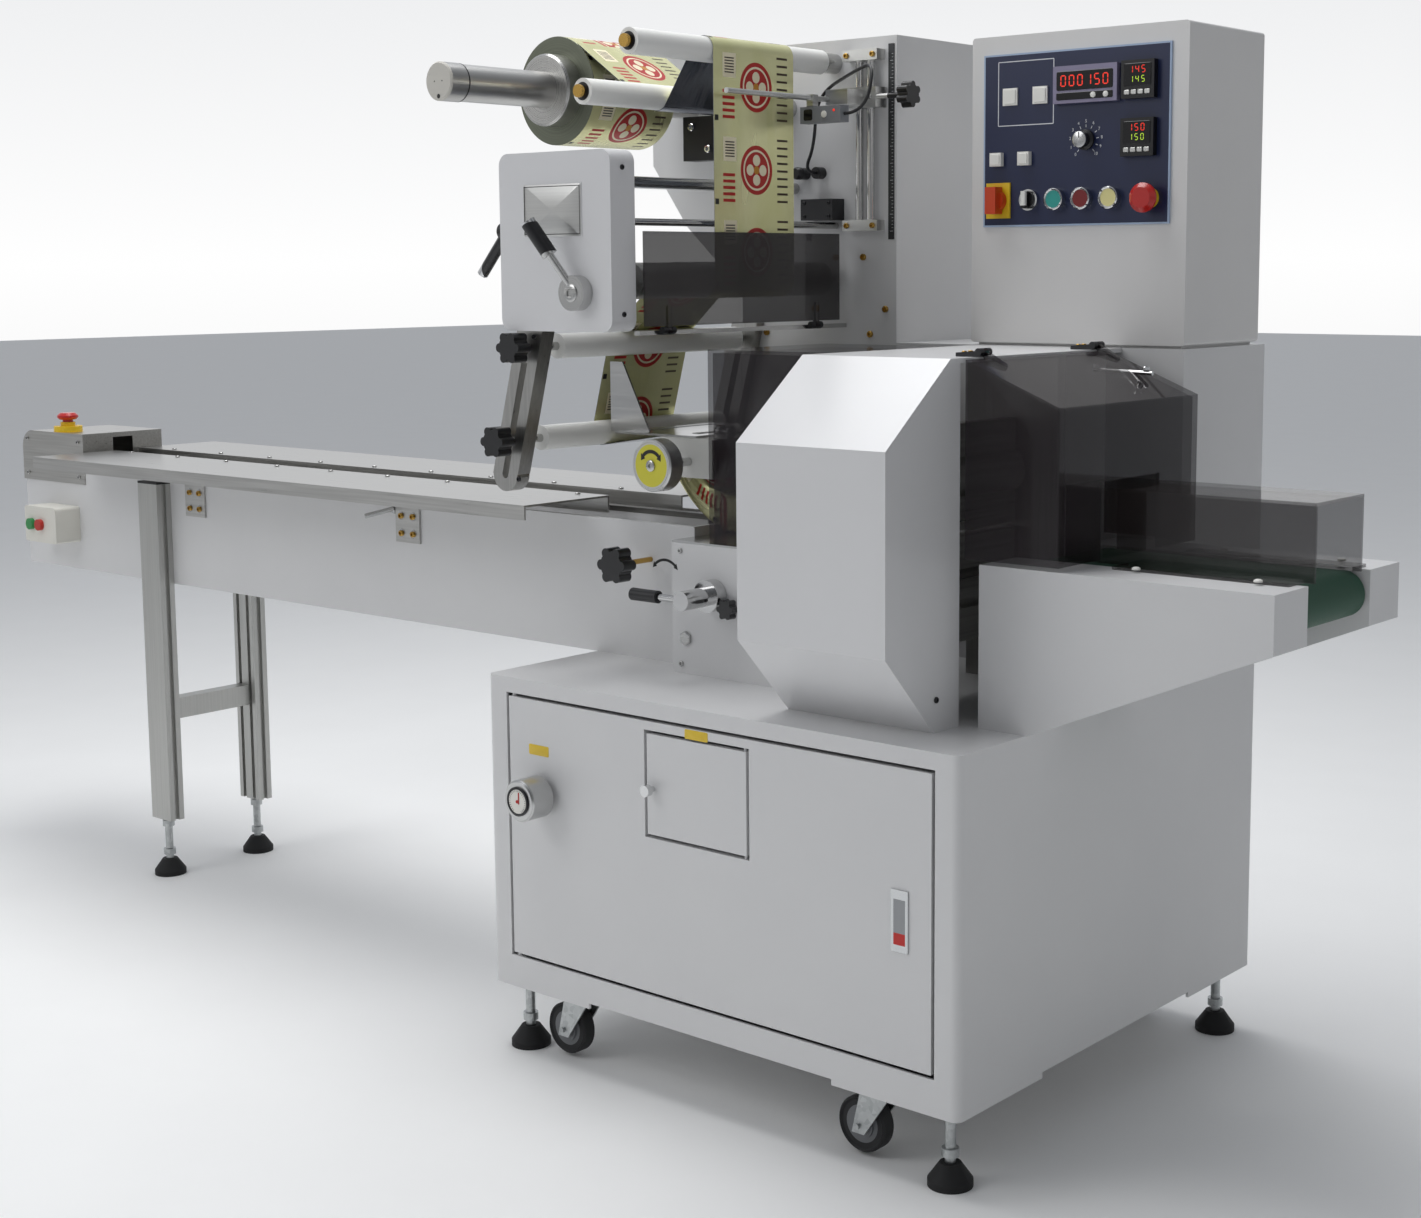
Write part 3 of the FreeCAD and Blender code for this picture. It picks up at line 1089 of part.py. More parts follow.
def on_panel(name, x, z, wide, tall, proud):
    """A square thing on the control panel, from its middle, standing this far out of it."""
    return block(name, f"{left(x)} - {wide} / 2", f"{PANEL_Y} - {proud}", f"{z} - {tall} / 2",
                 wide, f"{proud} + 1", tall)


PANEL_Y = behind("(housing_in - panel_sheet)")


def panel():
    """Control panel: plate, counter, temperature controllers, lamps, keys, buttons and rings."""
    plate = block("panel_plate", left("panel_left"), PANEL_Y, "panel_foot",
                  "panel_left - panel_right", "panel_sheet", "panel_top - panel_foot")
    things = [
        plate,
        on_panel("counter", "counter_left", "(panel_top - counter_drop)", "counter_wide", "counter_tall",
                 "counter_proud"),
        on_panel("power_base", "(panel_left - power_inset)", "(panel_top - row_drop)",
                 "power_plate", "power_tall", "lamp_proud"),
    ]
    for height in ("(panel_top - thermo_high_drop)", "(panel_top - thermo_low_drop)"):
        things.append(on_panel(height + "_box", "thermo_left", height, "thermo_side",
                               "thermo_side", "thermo_proud"))
    for name in ("(panel_left - lamp_inset)", "lamp_second"):
        things.append(on_panel(name + "_box", name, "(panel_top - lamp_drop)", "lamp_side", "lamp_side",
                               "lamp_proud"))
    for name in ("(panel_left - key_inset)", "key_second"):
        things.append(on_panel(name + "_box", name, "(panel_top - key_drop)", "key_side", "key_side",
                               "key_proud"))
    for name in ("start_left", "halt_left", "jog_left"):
        things.append(rod(name + "_button", left(name), f"{PANEL_Y} + 1", "(panel_top - row_drop)",
                          "button_radius", "button_proud + 1", TO_FRONT))
    ring = rod("selector_ring_rod", left("selector_left"), f"{PANEL_Y} + 1", "(panel_top - row_drop)",
               "selector_ring_radius", "selector_ring + 1", TO_FRONT)
    hole = rod("selector_ring_bore", left("selector_left"), PANEL_Y, "(panel_top - row_drop)",
               "selector_radius + 2 * running_play", "2 * selector_ring", TO_FRONT)
    things.append(cut("selector_bezel", ring, hole))
    things.append(stop_collar("panel_stop", left("panel_stop_left"), PANEL_Y,
                              "(panel_top - panel_stop_drop)", TO_FRONT))
    part("control_panel", joined("panel_face", *things))
    stop_button("panel_stop_button", left("panel_stop_left"), PANEL_Y,
                "(panel_top - panel_stop_drop)", TO_FRONT)


def rotary_controls():
    """The power handle, the film selector and the speed knob."""
    z = "(panel_top - row_drop)"
    base = f"({PANEL_Y} - lamp_proud - turning_gap)"
    hub = rod("power_hub", left("(panel_left - power_inset)"), base, z, "power_hub_radius",
              "power_grip_proud / 2", TO_FRONT)
    grip = block("power_grip", left("(panel_left - power_inset)") + " - power_grip_wide / 2",
                 f"{base} - power_grip_proud", f"{z} - power_grip_long / 2", "power_grip_wide",
                 "power_grip_proud - 2", "power_grip_long")
    part("power_switch", joined("power_handle", hub, grip))
    face = f"({PANEL_Y} - turning_gap)"
    body = rod("selector_body", left("selector_left"), face, z, "selector_radius",
               "selector_ring + 2", TO_FRONT)
    lever = block("selector_lever", left("selector_left") + " - selector_wide / 2",
                  f"{face} - selector_proud", f"{z} - selector_long / 2", "selector_wide",
                  "selector_proud - selector_ring - 1", "selector_long")
    part("film_selector", joined("selector", body, lever))
    part("speed_knob", turned("speed_body", [
        ("0", "turning_gap"),
        ("speed_radius", "turning_gap"),
        ("speed_radius", "4"),
        ("speed_radius * 0.72", "6"),
        ("speed_radius * 0.66", "speed_proud"),
        ("0", "speed_proud"),
    ], left("speed_left"), PANEL_Y, "(panel_top - speed_drop)", TO_FRONT))


# ---------------------------------------------------------------- film stand

def roller_place(number):
    """X and Z of one of the four idle rollers; the fourth hangs below the third on the arm."""
    if number == 4:
        return left("(roller_3_left + arm_run)"), "(roller_3_height - arm_drop)"
    return left(f"roller_{number}_left"), f"roller_{number}_height"


def drive_box():
    """White rounded casing of the film drive, with a bare metal plate on its face."""
    wide, tall = "drive_left - drive_right", "drive_top - drive_foot"
    box = prism("drive_casing", "XZ", [("0", "0"), (wide, "0"), (wide, tall), ("0", tall)],
                "drive_depth", left("drive_left"), behind("drive_in"), "drive_foot")
    eased(box, "drive_round", runs_along("y"))
    plate = block("drive_plate", left("plate_left"), behind("(drive_in - plate_proud)"),
                  "plate_foot", "plate_wide", "plate_proud + 1", "plate_tall")
    part("drive_box", joined("drive", box, plate))


def nip_lever():
    """Release lever of the feed rollers: a hub on the drive box, a slanted arm and a grip."""
    x, z = left("nip_lever_left"), "nip_lever_height"
    hub = rod("nip_hub_rod", x, behind("(drive_in - turning_gap)"), z, "nip_hub_radius",
              "nip_hub - turning_gap", TO_FRONT)
    slant = pointing("-nip_run", "-nip_out", "nip_rise")
    length = "sqrt(nip_run * nip_run + nip_out * nip_out + nip_rise * nip_rise)"
    start = behind("(drive_in - nip_hub / 2)")
    arm = rod("nip_arm_rod", x, start, z, "nip_arm_radius", f"{length} - 2", slant)
    share = f"(1 - nip_grip / {length})"
    grip = rod("nip_grip_rod", f"{x} - nip_run * {share}", f"{start} - nip_out * {share}",
               f"{z} + nip_rise * {share}", "nip_grip_radius", "nip_grip", slant)
    part("nip_lever", joined("nip_handle", hub, arm, grip))


def arm_x(height):
    """X of the slotted arm's middle line at a height."""
    return left(f"(roller_3_left + (roller_3_height - ({height})) * arm_run / arm_drop)")


def slotted_arm(name, y, depth):
    """One slanted arm, flat on top, round at its foot, slotted for the rollers' clamps."""
    wide = "arm_half * sqrt(arm_run * arm_run + arm_drop * arm_drop) / arm_drop"
    narrow = "arm_slot_half * sqrt(arm_run * arm_run + arm_drop * arm_drop) / arm_drop"
    low, high = arm_x("arm_end_height"), arm_x("drive_foot")
    blade = prism(f"{name}_blade", "XZ", [
        (f"{low} - {wide}", "arm_end_height"),
        (f"{low} + {wide}", "arm_end_height"),
        (f"{high} + {wide}", "drive_foot"),
        (f"{high} - {wide}", "drive_foot"),
    ], depth, 0, y, 0)
    end = rod(f"{name}_end", low, y, "arm_end_height", "arm_half", depth, ALONG_Y)
    slot_high = arm_x("arm_slot_top")
    slot = prism(f"{name}_slot", "XZ", [
        (f"{low} - {narrow}", "arm_end_height"),
        (f"{low} + {narrow}", "arm_end_height"),
        (f"{slot_high} + {narrow}", "arm_slot_top"),
        (f"{slot_high} - {narrow}", "arm_slot_top"),
    ], f"{depth} + 2", 0, f"{y} - 1", 0)
    slot_end = rod(f"{name}_slot_end", low, f"{y} - 1", "arm_end_height", "arm_slot_half",
                   f"{depth} + 2", ALONG_Y)
    fixed = rod(f"{name}_hole", roller_place(3)[0], f"{y} - 1", roller_place(3)[1],
                "idler_pin_radius + running_play", f"{depth} + 2", ALONG_Y)
    return cut(name, joined(f"{name}_bar", blade, end), slot, slot_end, fixed)


def slotted_arms():
    """The front arm under the drive box and the rear arm on the tower's wing."""
    part("slotted_arms", together("arms", slotted_arm("front_arm", behind("arm_in"), "arm_thick"),
                                  slotted_arm("rear_arm_plate", behind("(housing_in - rear_arm)"),
                                              "rear_arm")))


def rods():
    """Tie rods, the hinge bar and the fixed axles of the rollers."""
    drive_back = "(drive_in + drive_depth)"
    span = f"housing_in - {drive_back}"
    ties = [
        rod("tie_rod", left("tie_left"), behind(drive_back), "tie_height", "tie_radius", span,
            ALONG_Y),
        rod("low_tie_rod", left("low_tie_left"), behind(drive_back), "low_tie_height",
            "low_tie_radius", span, ALONG_Y),
        block("hinge_bar", left("hinge_bar_left"), behind(drive_back),
              "film_cover_axis_height - hinge_bar_sheet", "hinge_bar_wide", span,
              "hinge_bar_sheet"),
    ]
    axles = []
    for number in (1, 2):
        x, z = roller_place(number)
        axle = rod(f"axle_{number}", x, behind("(roller_near_in - screw)"), z,
                   "idler_pin_radius", "housing_in - roller_near_in + screw", ALONG_Y)
        screw = rod(f"axle_screw_{number}", x, behind("(roller_near_in - 2 * screw)"), z,
                    "screw_radius", "screw", ALONG_Y)
        boss = rod(f"axle_boss_{number}", x, behind("(housing_in - boss)"), z, "boss_radius",
                   "boss", ALONG_Y)
        axles.append(joined(f"roller_axle_{number}", axle, screw, boss))
    for number in (3, 4):
        x, z = roller_place(number)
        axles.append(rod(f"roller_axle_{number}", x, behind("arm_in"), z, "idler_pin_radius",
                         "housing_in - arm_in", ALONG_Y))
    for i, x in enumerate((left("draw_left"), NIP_X), 1):
        axles.append(rod(f"feed_axle_{i}", x, behind(drive_back), "feed_height",
                         "feed_pin_radius", span, ALONG_Y))
    part("rods_and_axles", together("ties_and_axles", *ties, *axles))


NIP_X = left("(draw_left + 2 * feed_radius + film_sheet + 2 * web_gap + nip_ease)")


def tube(name, x, y, z, radius, bore, length):
    """A round tube lying along Y."""
    solid = rod(f"{name}_outside", x, y, z, radius, length, ALONG_Y)
    hole = rod(f"{name}_inside", x, f"{y} - 1", z, bore, f"{length} + 2", ALONG_Y)
    return cut(name, solid, hole)


def rollers():
    """Four white idle rollers and the two feed rollers, each running on its own axle."""
    for number in (1, 2, 3, 4):
        x, z = roller_place(number)
        near, far = ("roller_near_in", "roller_far_in")
        if number > 2:
            near, far = ("idler_near_in", "idler_far_in")
        part(f"roller_{number}", tube(f"roller_tube_{number}", x, behind(near), z, "roller_radius",
                                      "idler_pin_radius + running_play", f"{far} - {near}"))
    for label, x in (("draw_roller", left("draw_left")), ("nip_roller", NIP_X)):
        part(label, tube(f"{label}_tube", x, behind("feed_near_in"), "feed_height", "feed_radius",
                         "feed_pin_radius + running_play", "feed_far_in - feed_near_in"))


def film_cover():
    """Smoked plate in front of the feed rollers, hinged along its foot."""
    plate = block("film_cover_plate", left("film_cover_left"), behind("film_cover_in"),
                  "film_cover_foot", "film_cover_sheet", "film_cover_far_in - film_cover_in",
                  "film_cover_top - film_cover_foot")
    shapes, bores = [plate], []
    for i, name in enumerate(("film_hinge_first_in", "film_hinge_second_in"), 1):
        ring, bore, start = middle_knuckle(f"film_{i}", FILM_AXIS, behind(name),
                                           "film_cover_axis_height")
        leaf = block(f"film_leaf_{i}", left("film_cover_left"), start,
                     "film_cover_axis_height + pin_radius + 1", "film_cover_sheet + 2",
                     "knuckle", "leaf - 4")
        shapes += [ring, leaf]
        bores.append(bore)
    part("film_cover", cut("film_flap", joined("film_flap_body", *shapes), *bores))


def reel():
    """The reel spindle with its front cap and collar, and the film roll on it."""
    x, z = left("reel_left"), "reel_height"
    part("reel_spindle", turned("spindle_body", [
        ("0", "-reel_front"),
        ("reel_cap_radius - 2", "-reel_front"),
        ("reel_cap_radius", "-reel_front + 2"),
        ("reel_cap_radius", "reel_cap_in"),
        ("reel_shaft_radius", "reel_cap_in"),
        ("reel_shaft_radius", "reel_collar_in"),
        ("reel_collar_radius - 3", "reel_collar_in"),
        ("reel_collar_radius", "reel_collar_in + 3"),
        ("reel_collar_radius", "film_near_in"),
        ("reel_shaft_radius", "film_near_in"),
        ("reel_shaft_radius", "housing_in - turning_gap"),
        ("0", "housing_in - turning_gap"),
    ], x, FRONT, z, ALONG_Y))
    part("film_roll", tube("roll", x, behind("film_near_in"), z, "roll_radius",
                           "reel_shaft_radius", "film_far_in - film_near_in"))


def web_outline(circles, end):
    """Outline of a thin web that runs round circles of signed radius and stops at a point.

    Each circle is x, z and radius, positive where the web turns anticlockwise round it. The web's
    middle line touches each circle a gap outside it, and its two faces lie half a sheet off.
    """
    half = value("film_sheet / 2")
    stand = value("web_gap + film_sheet / 2")
    signed = [(x, z, math.copysign(abs(r) + stand, r)) for x, z, r in circles] + [(*end, 0.0)]
    headings = []
    for (x1, z1, r1), (x2, z2, r2) in zip(signed, signed[1:]):
        distance = math.hypot(x2 - x1, z2 - z1)
        headings.append(math.atan2(z2 - z1, x2 - x1) - math.asin((r2 - r1) / distance))

    def touch(circle, heading, offset):
        x, z, r = circle
        reach = r - offset
        return Vector(x + math.sin(heading) * reach, 0, z - math.cos(heading) * reach)

    def side(offset):
        edges = []
        for i, heading in enumerate(headings):
            first = touch(signed[i], heading, offset)
            last = touch(signed[i + 1], heading, offset)
            edges.append(Part.makeLine(first, last))
            if i + 1 < len(headings):
                turn = headings[i + 1] - heading
                turn = (turn + math.pi) % (2 * math.pi) - math.pi
                if signed[i + 1][2] > 0 and turn < 0:
                    turn += 2 * math.pi
                if signed[i + 1][2] < 0 and turn > 0:
                    turn -= 2 * math.pi
                middle = touch(signed[i + 1], heading + turn / 2, offset)
                after = touch(signed[i + 1], headings[i + 1], offset)
                edges.append(Part.Arc(last, middle, after).toShape())
        return edges

    near, far = side(half), side(-half)
    caps = [
        Part.makeLine(near[0].Vertexes[0].Point, far[0].Vertexes[0].Point),
        Part.makeLine(near[-1].Vertexes[-1].Point, far[-1].Vertexes[-1].Point),
    ]
    return Part.Face(Part.Wire(Part.__sortEdges__(near + far + caps)))


def film():
    """The film from roll to former, and the tube that it makes round the product."""
    spots = {number: roller_place(number) for number in (1, 2, 3, 4)}
    path = [
        (left("reel_left"), "reel_height", "-roll_radius"),
        (*spots[2], "roller_radius"),
        (*spots[1], "-roller_radius"),
        (left("draw_left"), "feed_height", "-feed_radius"),
        (NIP_X, "feed_height", "feed_radius"),
        (*spots[3], "roller_radius"),
        (*spots[4], "roller_radius"),
    ]
    circles = [tuple(value(text) for text in spot) for spot in path]
    section = doc.addObject("Part::Feature", "web_section")
    section.Shape = web_outline(circles, (value(left("web_end_left")), value("web_end_height")))
    web = doc.addObject("Part::Extrusion", "web")
    web.Base = section
    web.DirMode = "Custom"
    web.Dir = Vector(0, 1, 0)
    web.Solid = True
    web.setExpression("LengthFwd", bound("film_far_in - film_near_in"))
    place(web, 0, behind("film_near_in"), 0)
    length = "tube_start - tube_end"
    outer = block("tube_outside", left("tube_start"), f"{LINE} - tube_half", "tube_foot", length,
                  "2 * tube_half", "tube_top - tube_foot")
    inner = block("tube_inside", left("tube_start") + " - 1", f"{LINE} - tube_half + film_sheet",
                  "tube_foot + film_sheet", f"{length} + 2", "2 * (tube_half - film_sheet)",
                  "tube_top - tube_foot - 2 * film_sheet")
    part("film", together("film_web", web, cut("film_tube", outer, inner)))


# ---------------------------------------------------------------- film sensor

def sensor_rails():
    """Two end blocks with two rails between them, and the steel rule beside them."""
    deep = "rail_block_deep"
    blocks = [
        block(f"{name}_end", left("rail_block_left"), behind("(housing_in - rail_block_deep)"),
              name, "rail_block_wide", deep, "rail_block_tall")
        for name in ("rail_block_low", "rail_block_high")
    ]
    bars = [
        rod(f"{name}_bar", left(name), behind("rail_in"), "rail_block_low + 1", "rail_radius",
            "rail_block_high - rail_block_low")
        for name in ("rail_left_first", "rail_left_second")
    ]
    rule = block("steel_rule", left("scale_left"), behind("(housing_in - scale_sheet)"),
                 "scale_foot", "scale_wide", "scale_sheet", "scale_top - scale_foot")
    part("sensor_rails", together("rails", joined("rail_frame", *blocks, *bars), rule))


def sensor_carriage():
    """The slide on the rails with its clamp, neck, finger rod and photo-eye."""
    body = block("slide_body", left("slide_left"), behind("slide_in"), "slide_foot", "slide_wide",
                 "slide_deep", "slide_top - slide_foot")
    bores = [
        rod(f"{name}_bore", left(name), behind("rail_in"), "slide_foot - 1",
            "rail_radius + slide_play", "slide_top - slide_foot + 2")
        for name in ("rail_left_first", "rail_left_second")
    ]
    neck = block("slide_neck", left("neck_left"), behind("neck_in"), "neck_foot", "neck_wide",
                 "slide_in - neck_in + 1", "neck_tall")
    finger = rod("finger_rod", left("finger_left"), behind("finger_in"), "finger_height",
                 "finger_radius", "neck_in - finger_in + 2", ALONG_Y)
    stem = block("eye_stem_block", left("finger_left") + " - eye_stem / 2",
                 behind("(eye_in + eye_deep / 2)") + " - eye_stem / 2", "eye_foot + eye_tall - 1",
                 "eye_stem", "eye_stem", "finger_height - eye_foot - eye_tall + finger_radius + 2")
    rod_end = rod("knob_rod", left("(slide_left - slide_wide)"), behind("(housing_in - 24)"),
                  "(slide_foot + slide_top) / 2", "finger_radius",
                  "slide_left - slide_wide - slide_knob_left + 1", ALONG_X)
    carriage = joined("carriage", cut("slide", body, *bores), neck, finger, stem, rod_end)
    eye = block("eye_body", left("eye_left"), behind("eye_in"), "eye_foot", "eye_wide", "eye_deep",
                "eye_tall - 1")
    knob = star("slide_star", left("slide_knob_left"), behind("(housing_in - 24)"),
                "(slide_foot + slide_top) / 2", "slide_knob_radius", "slide_knob", "0.5", ALONG_X)
    glands = [
        rod(f"{name}_nut", left(name), behind("(housing_in - gland)"), "gland_height",
            "gland_radius", "gland", ALONG_Y)
        for name in ("gland_left", "gland_second")
    ]
    limit = block("limit_switch", left("limit_left"), behind("(housing_in - limit_deep)"),
                  "limit_foot", "limit_wide", "limit_deep", "limit_tall")
    brake = block("brake_block", left("brake_left"), behind("brake_in"), "brake_foot",
                  "brake_wide", "brake_deep", "brake_tall")
    brake_rod = rod("brake_rod_bar", left("(brake_left - brake_wide / 2)"),
                    behind("(brake_in + brake_deep - 1)"), "brake_foot + brake_tall / 2",
                    "brake_rod_radius", "housing_in - brake_in - brake_deep + 1", ALONG_Y)
    part("sensor_carriage", joined("carriage_with_eye", carriage, eye, knob))
    part("tower_fittings", together("fittings", *glands, limit,
                                    joined("web_brake", brake, brake_rod)))


LEAD_POINTS = [
    (left("(eye_left - eye_wide)"), behind("(eye_in + eye_deep / 2)"), "eye_foot + 12"),
    (left("462"), behind("418"), "eye_foot + 12"),
    (left("462"), behind("440"), "1430"),
    (left("512"), behind("462"), "1424"),
    (left("594"), behind("470"), "1392"),
    (left("600"), behind("472"), "1318"),
    (left("gland_left"), behind("480"), "gland_height"),
    (left("gland_left"), behind("(housing_in - gland)"), "gland_height"),
]


def lead():
    """The sensor's round lead: straight runs joined by arcs, from the photo-eye to its gland."""
    points = [Vector(*(value(text) for text in spot)) for spot in LEAD_POINTS]
    edges = []
    start = points[0]
    for before, corner, after in zip(points, points[1:], points[2:]):
        into = (corner - before).normalize()
        away = (after - corner).normalize()
        half_turn = into.getAngle(away) / 2
        setback = 0.45 * min((corner - before).Length, (after - corner).Length)
        first = corner - into * setback
        last = corner + away * setback
        radius = setback / math.tan(half_turn)
        inward = (away - into).normalize()
        middle = corner + inward * (radius / math.cos(half_turn) - radius)
        print(f"lead turn {math.degrees(2 * half_turn):.0f} deg, radius {radius:.1f}")
        edges.append(Part.makeLine(start, first))
        edges.append(Part.Arc(first, middle, last).toShape())
        start = last
    edges.append(Part.makeLine(start, points[-1]))
    wire = Part.Wire(edges)
    circle = Part.makeCircle(value("lead_radius"), points[0], points[1] - points[0])
    tube_shape = wire.makePipeShell([Part.Wire([circle])], True, False, 2)
    feature = doc.addObject("Part::Feature", "lead")
    feature.Shape = tube_shape
    section = math.pi * value("lead_radius") ** 2
    print(f"lead length {wire.Length:.1f}, volume {tube_shape.Volume:.1f} of {section * wire.Length:.1f}")
    part("sensor_lead", feature)


# ---------------------------------------------------------------- discharge conveyor

def discharge():
    """Two white side boxes with the belt and its end rollers between them."""
    side = [
        (left("exit_left"), "cabinet_top"),
        (right("exit_foot_right"), "cabinet_top"),
        (right("exit_reach"), "exit_tip"),
        (right("exit_reach"), "exit_top"),
        (left("exit_left"), "exit_top"),
    ]
    far = "(2 * line_in - exit_in - exit_wide)"
    sides = [
        prism(f"exit_side_{i}", "XZ", side, "exit_wide", 0, behind(y), 0)
        for i, y in enumerate(("exit_in", far), 1)
    ]
    part("discharge_frames", together("exit_frames", *sides))
    length = "belt_left + belt_right"
    foot = "(belt_top - belt_height)"
    outer = stadium("belt_outer", left("belt_left"), foot, length, "belt_height", "belt_wide",
                    behind("belt_in"))
    inner = stadium("belt_inner", left("belt_left") + " + belt_sheet", f"{foot} + belt_sheet",
                    f"({length} - 2 * belt_sheet)", "belt_height - 2 * belt_sheet",
                    "belt_wide + 2", behind("(belt_in - 1)"))
    part("discharge_belt", cut("belt", outer, inner))
    rolls = []
    for i, x in enumerate((left("belt_left") + " + belt_height / 2",
                           right("belt_right") + " - belt_height / 2"), 1):
        drum = rod(f"belt_drum_{i}", x, behind("belt_in"), f"{foot} + belt_height / 2",
                   "belt_height / 2 - belt_sheet - belt_slack", "belt_wide", ALONG_Y)
        axle = rod(f"belt_axle_{i}", x, behind("(exit_in + exit_wide)"),
                   f"{foot} + belt_height / 2", "belt_axle_radius",
                   "2 * (line_in - exit_in - exit_wide)", ALONG_Y)
        rolls.append(joined(f"belt_roll_{i}", drum, axle))
    part("belt_rollers", together("belt_rolls", *rolls))


def tunnel():
    """Smoked tunnel over the belt: two walls and a roof, standing on flanges on the side boxes."""
    outer = block("tunnel_outside", left("tunnel_left"), f"{LINE} - tunnel_half", "exit_top",
                  "tunnel_left + tunnel_right", "2 * tunnel_half", "tunnel_top - exit_top")
    inner = block("tunnel_inside", left("tunnel_left") + " - 1",
                  f"{LINE} - tunnel_half + tunnel_sheet", "exit_top - 1",
                  "tunnel_left + tunnel_right + 2", "2 * (tunnel_half - tunnel_sheet)",
                  "tunnel_top - exit_top - tunnel_sheet + 1")
    flanges = [
        block(f"tunnel_flange_{i}", right("tunnel_foot_left"), y, "exit_top",
              "tunnel_foot_right - tunnel_foot_left", "tunnel_foot + tunnel_sheet",
              "tunnel_sheet")
        for i, y in enumerate((f"{LINE} - tunnel_half - tunnel_foot",
                               f"{LINE} + tunnel_half - tunnel_sheet"), 1)
    ]
    part("discharge_tunnel", joined("exit_tunnel", cut("tunnel_shell", outer, inner), *flanges))


for make in (
    cabinet, door, hatch, dial, levelling_feet, casters, infeed_frame, infeed_legs,
    product_guides, chain, end_case, switch_station, bed, forming_section,
    handwheel, bed_lever, clamps, seal_cover, seal_frame, cover_hinges, exit_cover, feed_guard,
    housings, panel, rotary_controls, drive_box, nip_lever, slotted_arms, rods, rollers,
    film_cover, reel, film, sensor_rails, sensor_carriage, lead, discharge, tunnel,
):
    make()
jaw("upper_jaw", "jaw_high")
jaw("lower_jaw", "jaw_low")

doc.recompute()

bad = [thing.Name for thing in doc.Objects if {"Invalid", "Error"} & set(thing.State)]
if bad:
    raise RuntimeError(f"not rebuilt: {bad}")
for label, thing in PARTS.items():
    if thing.Shape.isNull() or not thing.Shape.isValid() or not thing.Shape.Solids:
        raise RuntimeError(f"bad shape: {label}")

os.makedirs("parts", exist_ok=True)
for label, thing in PARTS.items():
    thing.Shape.exportStep(f"parts/{label}.step")
print(len(PARTS), "sub-parts")
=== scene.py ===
import math

import bmesh
import bpy
import numpy as np
from mathutils import Matrix, Vector


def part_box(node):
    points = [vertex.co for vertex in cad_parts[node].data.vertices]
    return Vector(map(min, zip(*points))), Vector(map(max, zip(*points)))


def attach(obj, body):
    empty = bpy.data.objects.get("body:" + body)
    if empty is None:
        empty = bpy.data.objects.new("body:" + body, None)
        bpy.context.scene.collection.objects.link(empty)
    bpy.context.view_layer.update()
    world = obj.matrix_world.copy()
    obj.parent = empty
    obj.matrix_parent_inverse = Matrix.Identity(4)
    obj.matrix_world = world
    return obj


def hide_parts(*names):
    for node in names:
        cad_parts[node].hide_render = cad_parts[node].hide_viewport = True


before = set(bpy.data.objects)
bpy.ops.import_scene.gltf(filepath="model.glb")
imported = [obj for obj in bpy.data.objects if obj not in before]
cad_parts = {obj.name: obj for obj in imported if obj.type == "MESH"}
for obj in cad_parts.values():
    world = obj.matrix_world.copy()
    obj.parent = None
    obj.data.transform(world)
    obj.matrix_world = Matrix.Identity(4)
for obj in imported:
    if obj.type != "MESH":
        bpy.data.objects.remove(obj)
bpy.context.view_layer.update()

# The studio: a pale seamless floor, a soft sky, three soft lamps and the camera. Nothing here is part
# of the machine, so only the floor is a mesh.
RIGHT_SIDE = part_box("cabinet_shell")[1][0]
FRONT_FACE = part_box("cabinet_shell")[0][1]


def at(x, y, z):
    """A point in metres: millimetres from the cabinet's right side, from its front and from the floor."""
    return np.array([RIGHT_SIDE + x / 1000, FRONT_FACE + y / 1000, z / 1000])


def linear(code):
    """sRGB hex to linear colour: c / 12.92 up to 0.04045, above that ((c + 0.055) / 1.055) ^ 2.4."""
    c = np.array([int(code[i:i + 2], 16) for i in (0, 2, 4)]) / 255
    c = np.where(c <= 0.04045, c / 12.92, ((c + 0.055) / 1.055) ** 2.4)
    return (float(c[0]), float(c[1]), float(c[2]), 1.0)


def add(tree, kind, inputs=None, **settings):
    """Adds one shader node, gives it its settings, and sets or links each of its named inputs."""
    n = tree.nodes.new("ShaderNode" + kind)
    for key, value in settings.items():
        setattr(n, key, value)
    for key, value in (inputs or {}).items():
        if isinstance(value, bpy.types.NodeSocket):
            tree.links.new(value, n.inputs[key])
        else:
            n.inputs[key].default_value = value
    return n


def start(name, **uniform):
    """A new node material with its uniform values set on the shader: material, tree, shader, place."""
    m = bpy.data.materials.new(name)
    m.use_nodes = True
    t = m.node_tree
    s = t.nodes["Principled BSDF"]
    for key, value in uniform.items():
        s.inputs[key.replace("_", " ").title().replace("Ior", "IOR")].default_value = value
    return m, t, s, add(t, "TexCoord").outputs["Object"]


def paint(name, tone, worn, rough, grain=0.003, depth=0.12, **uniform):
    """Colour drifts from tone to worn over 200 mm by noise n; roughness = rough - 0.05 + 0.1 n; the
    relief is a second noise whose grain is the given length in metres."""
    m, t, s, where = start(name, **uniform)
    drift = add(t, "TexNoise", {"Vector": where, "Scale": 5.0, "Detail": 4.0}).outputs[0]
    tint = add(t, "Mix", {0: drift, 6: linear(tone), 7: linear(worn)}, data_type="RGBA")
    t.links.new(tint.outputs[2], s.inputs["Base Color"])
    gloss = add(t, "MapRange", {0: drift, 3: rough - 0.05, 4: rough + 0.05})
    t.links.new(gloss.outputs[0], s.inputs["Roughness"])
    peel = add(t, "TexNoise", {"Vector": where, "Scale": 1 / grain, "Detail": 2.0}).outputs[0]
    relief = add(t, "Bump", {"Height": peel, "Strength": depth, "Distance": 0.0004})
    t.links.new(relief.outputs[0], s.inputs["Normal"])
    return m


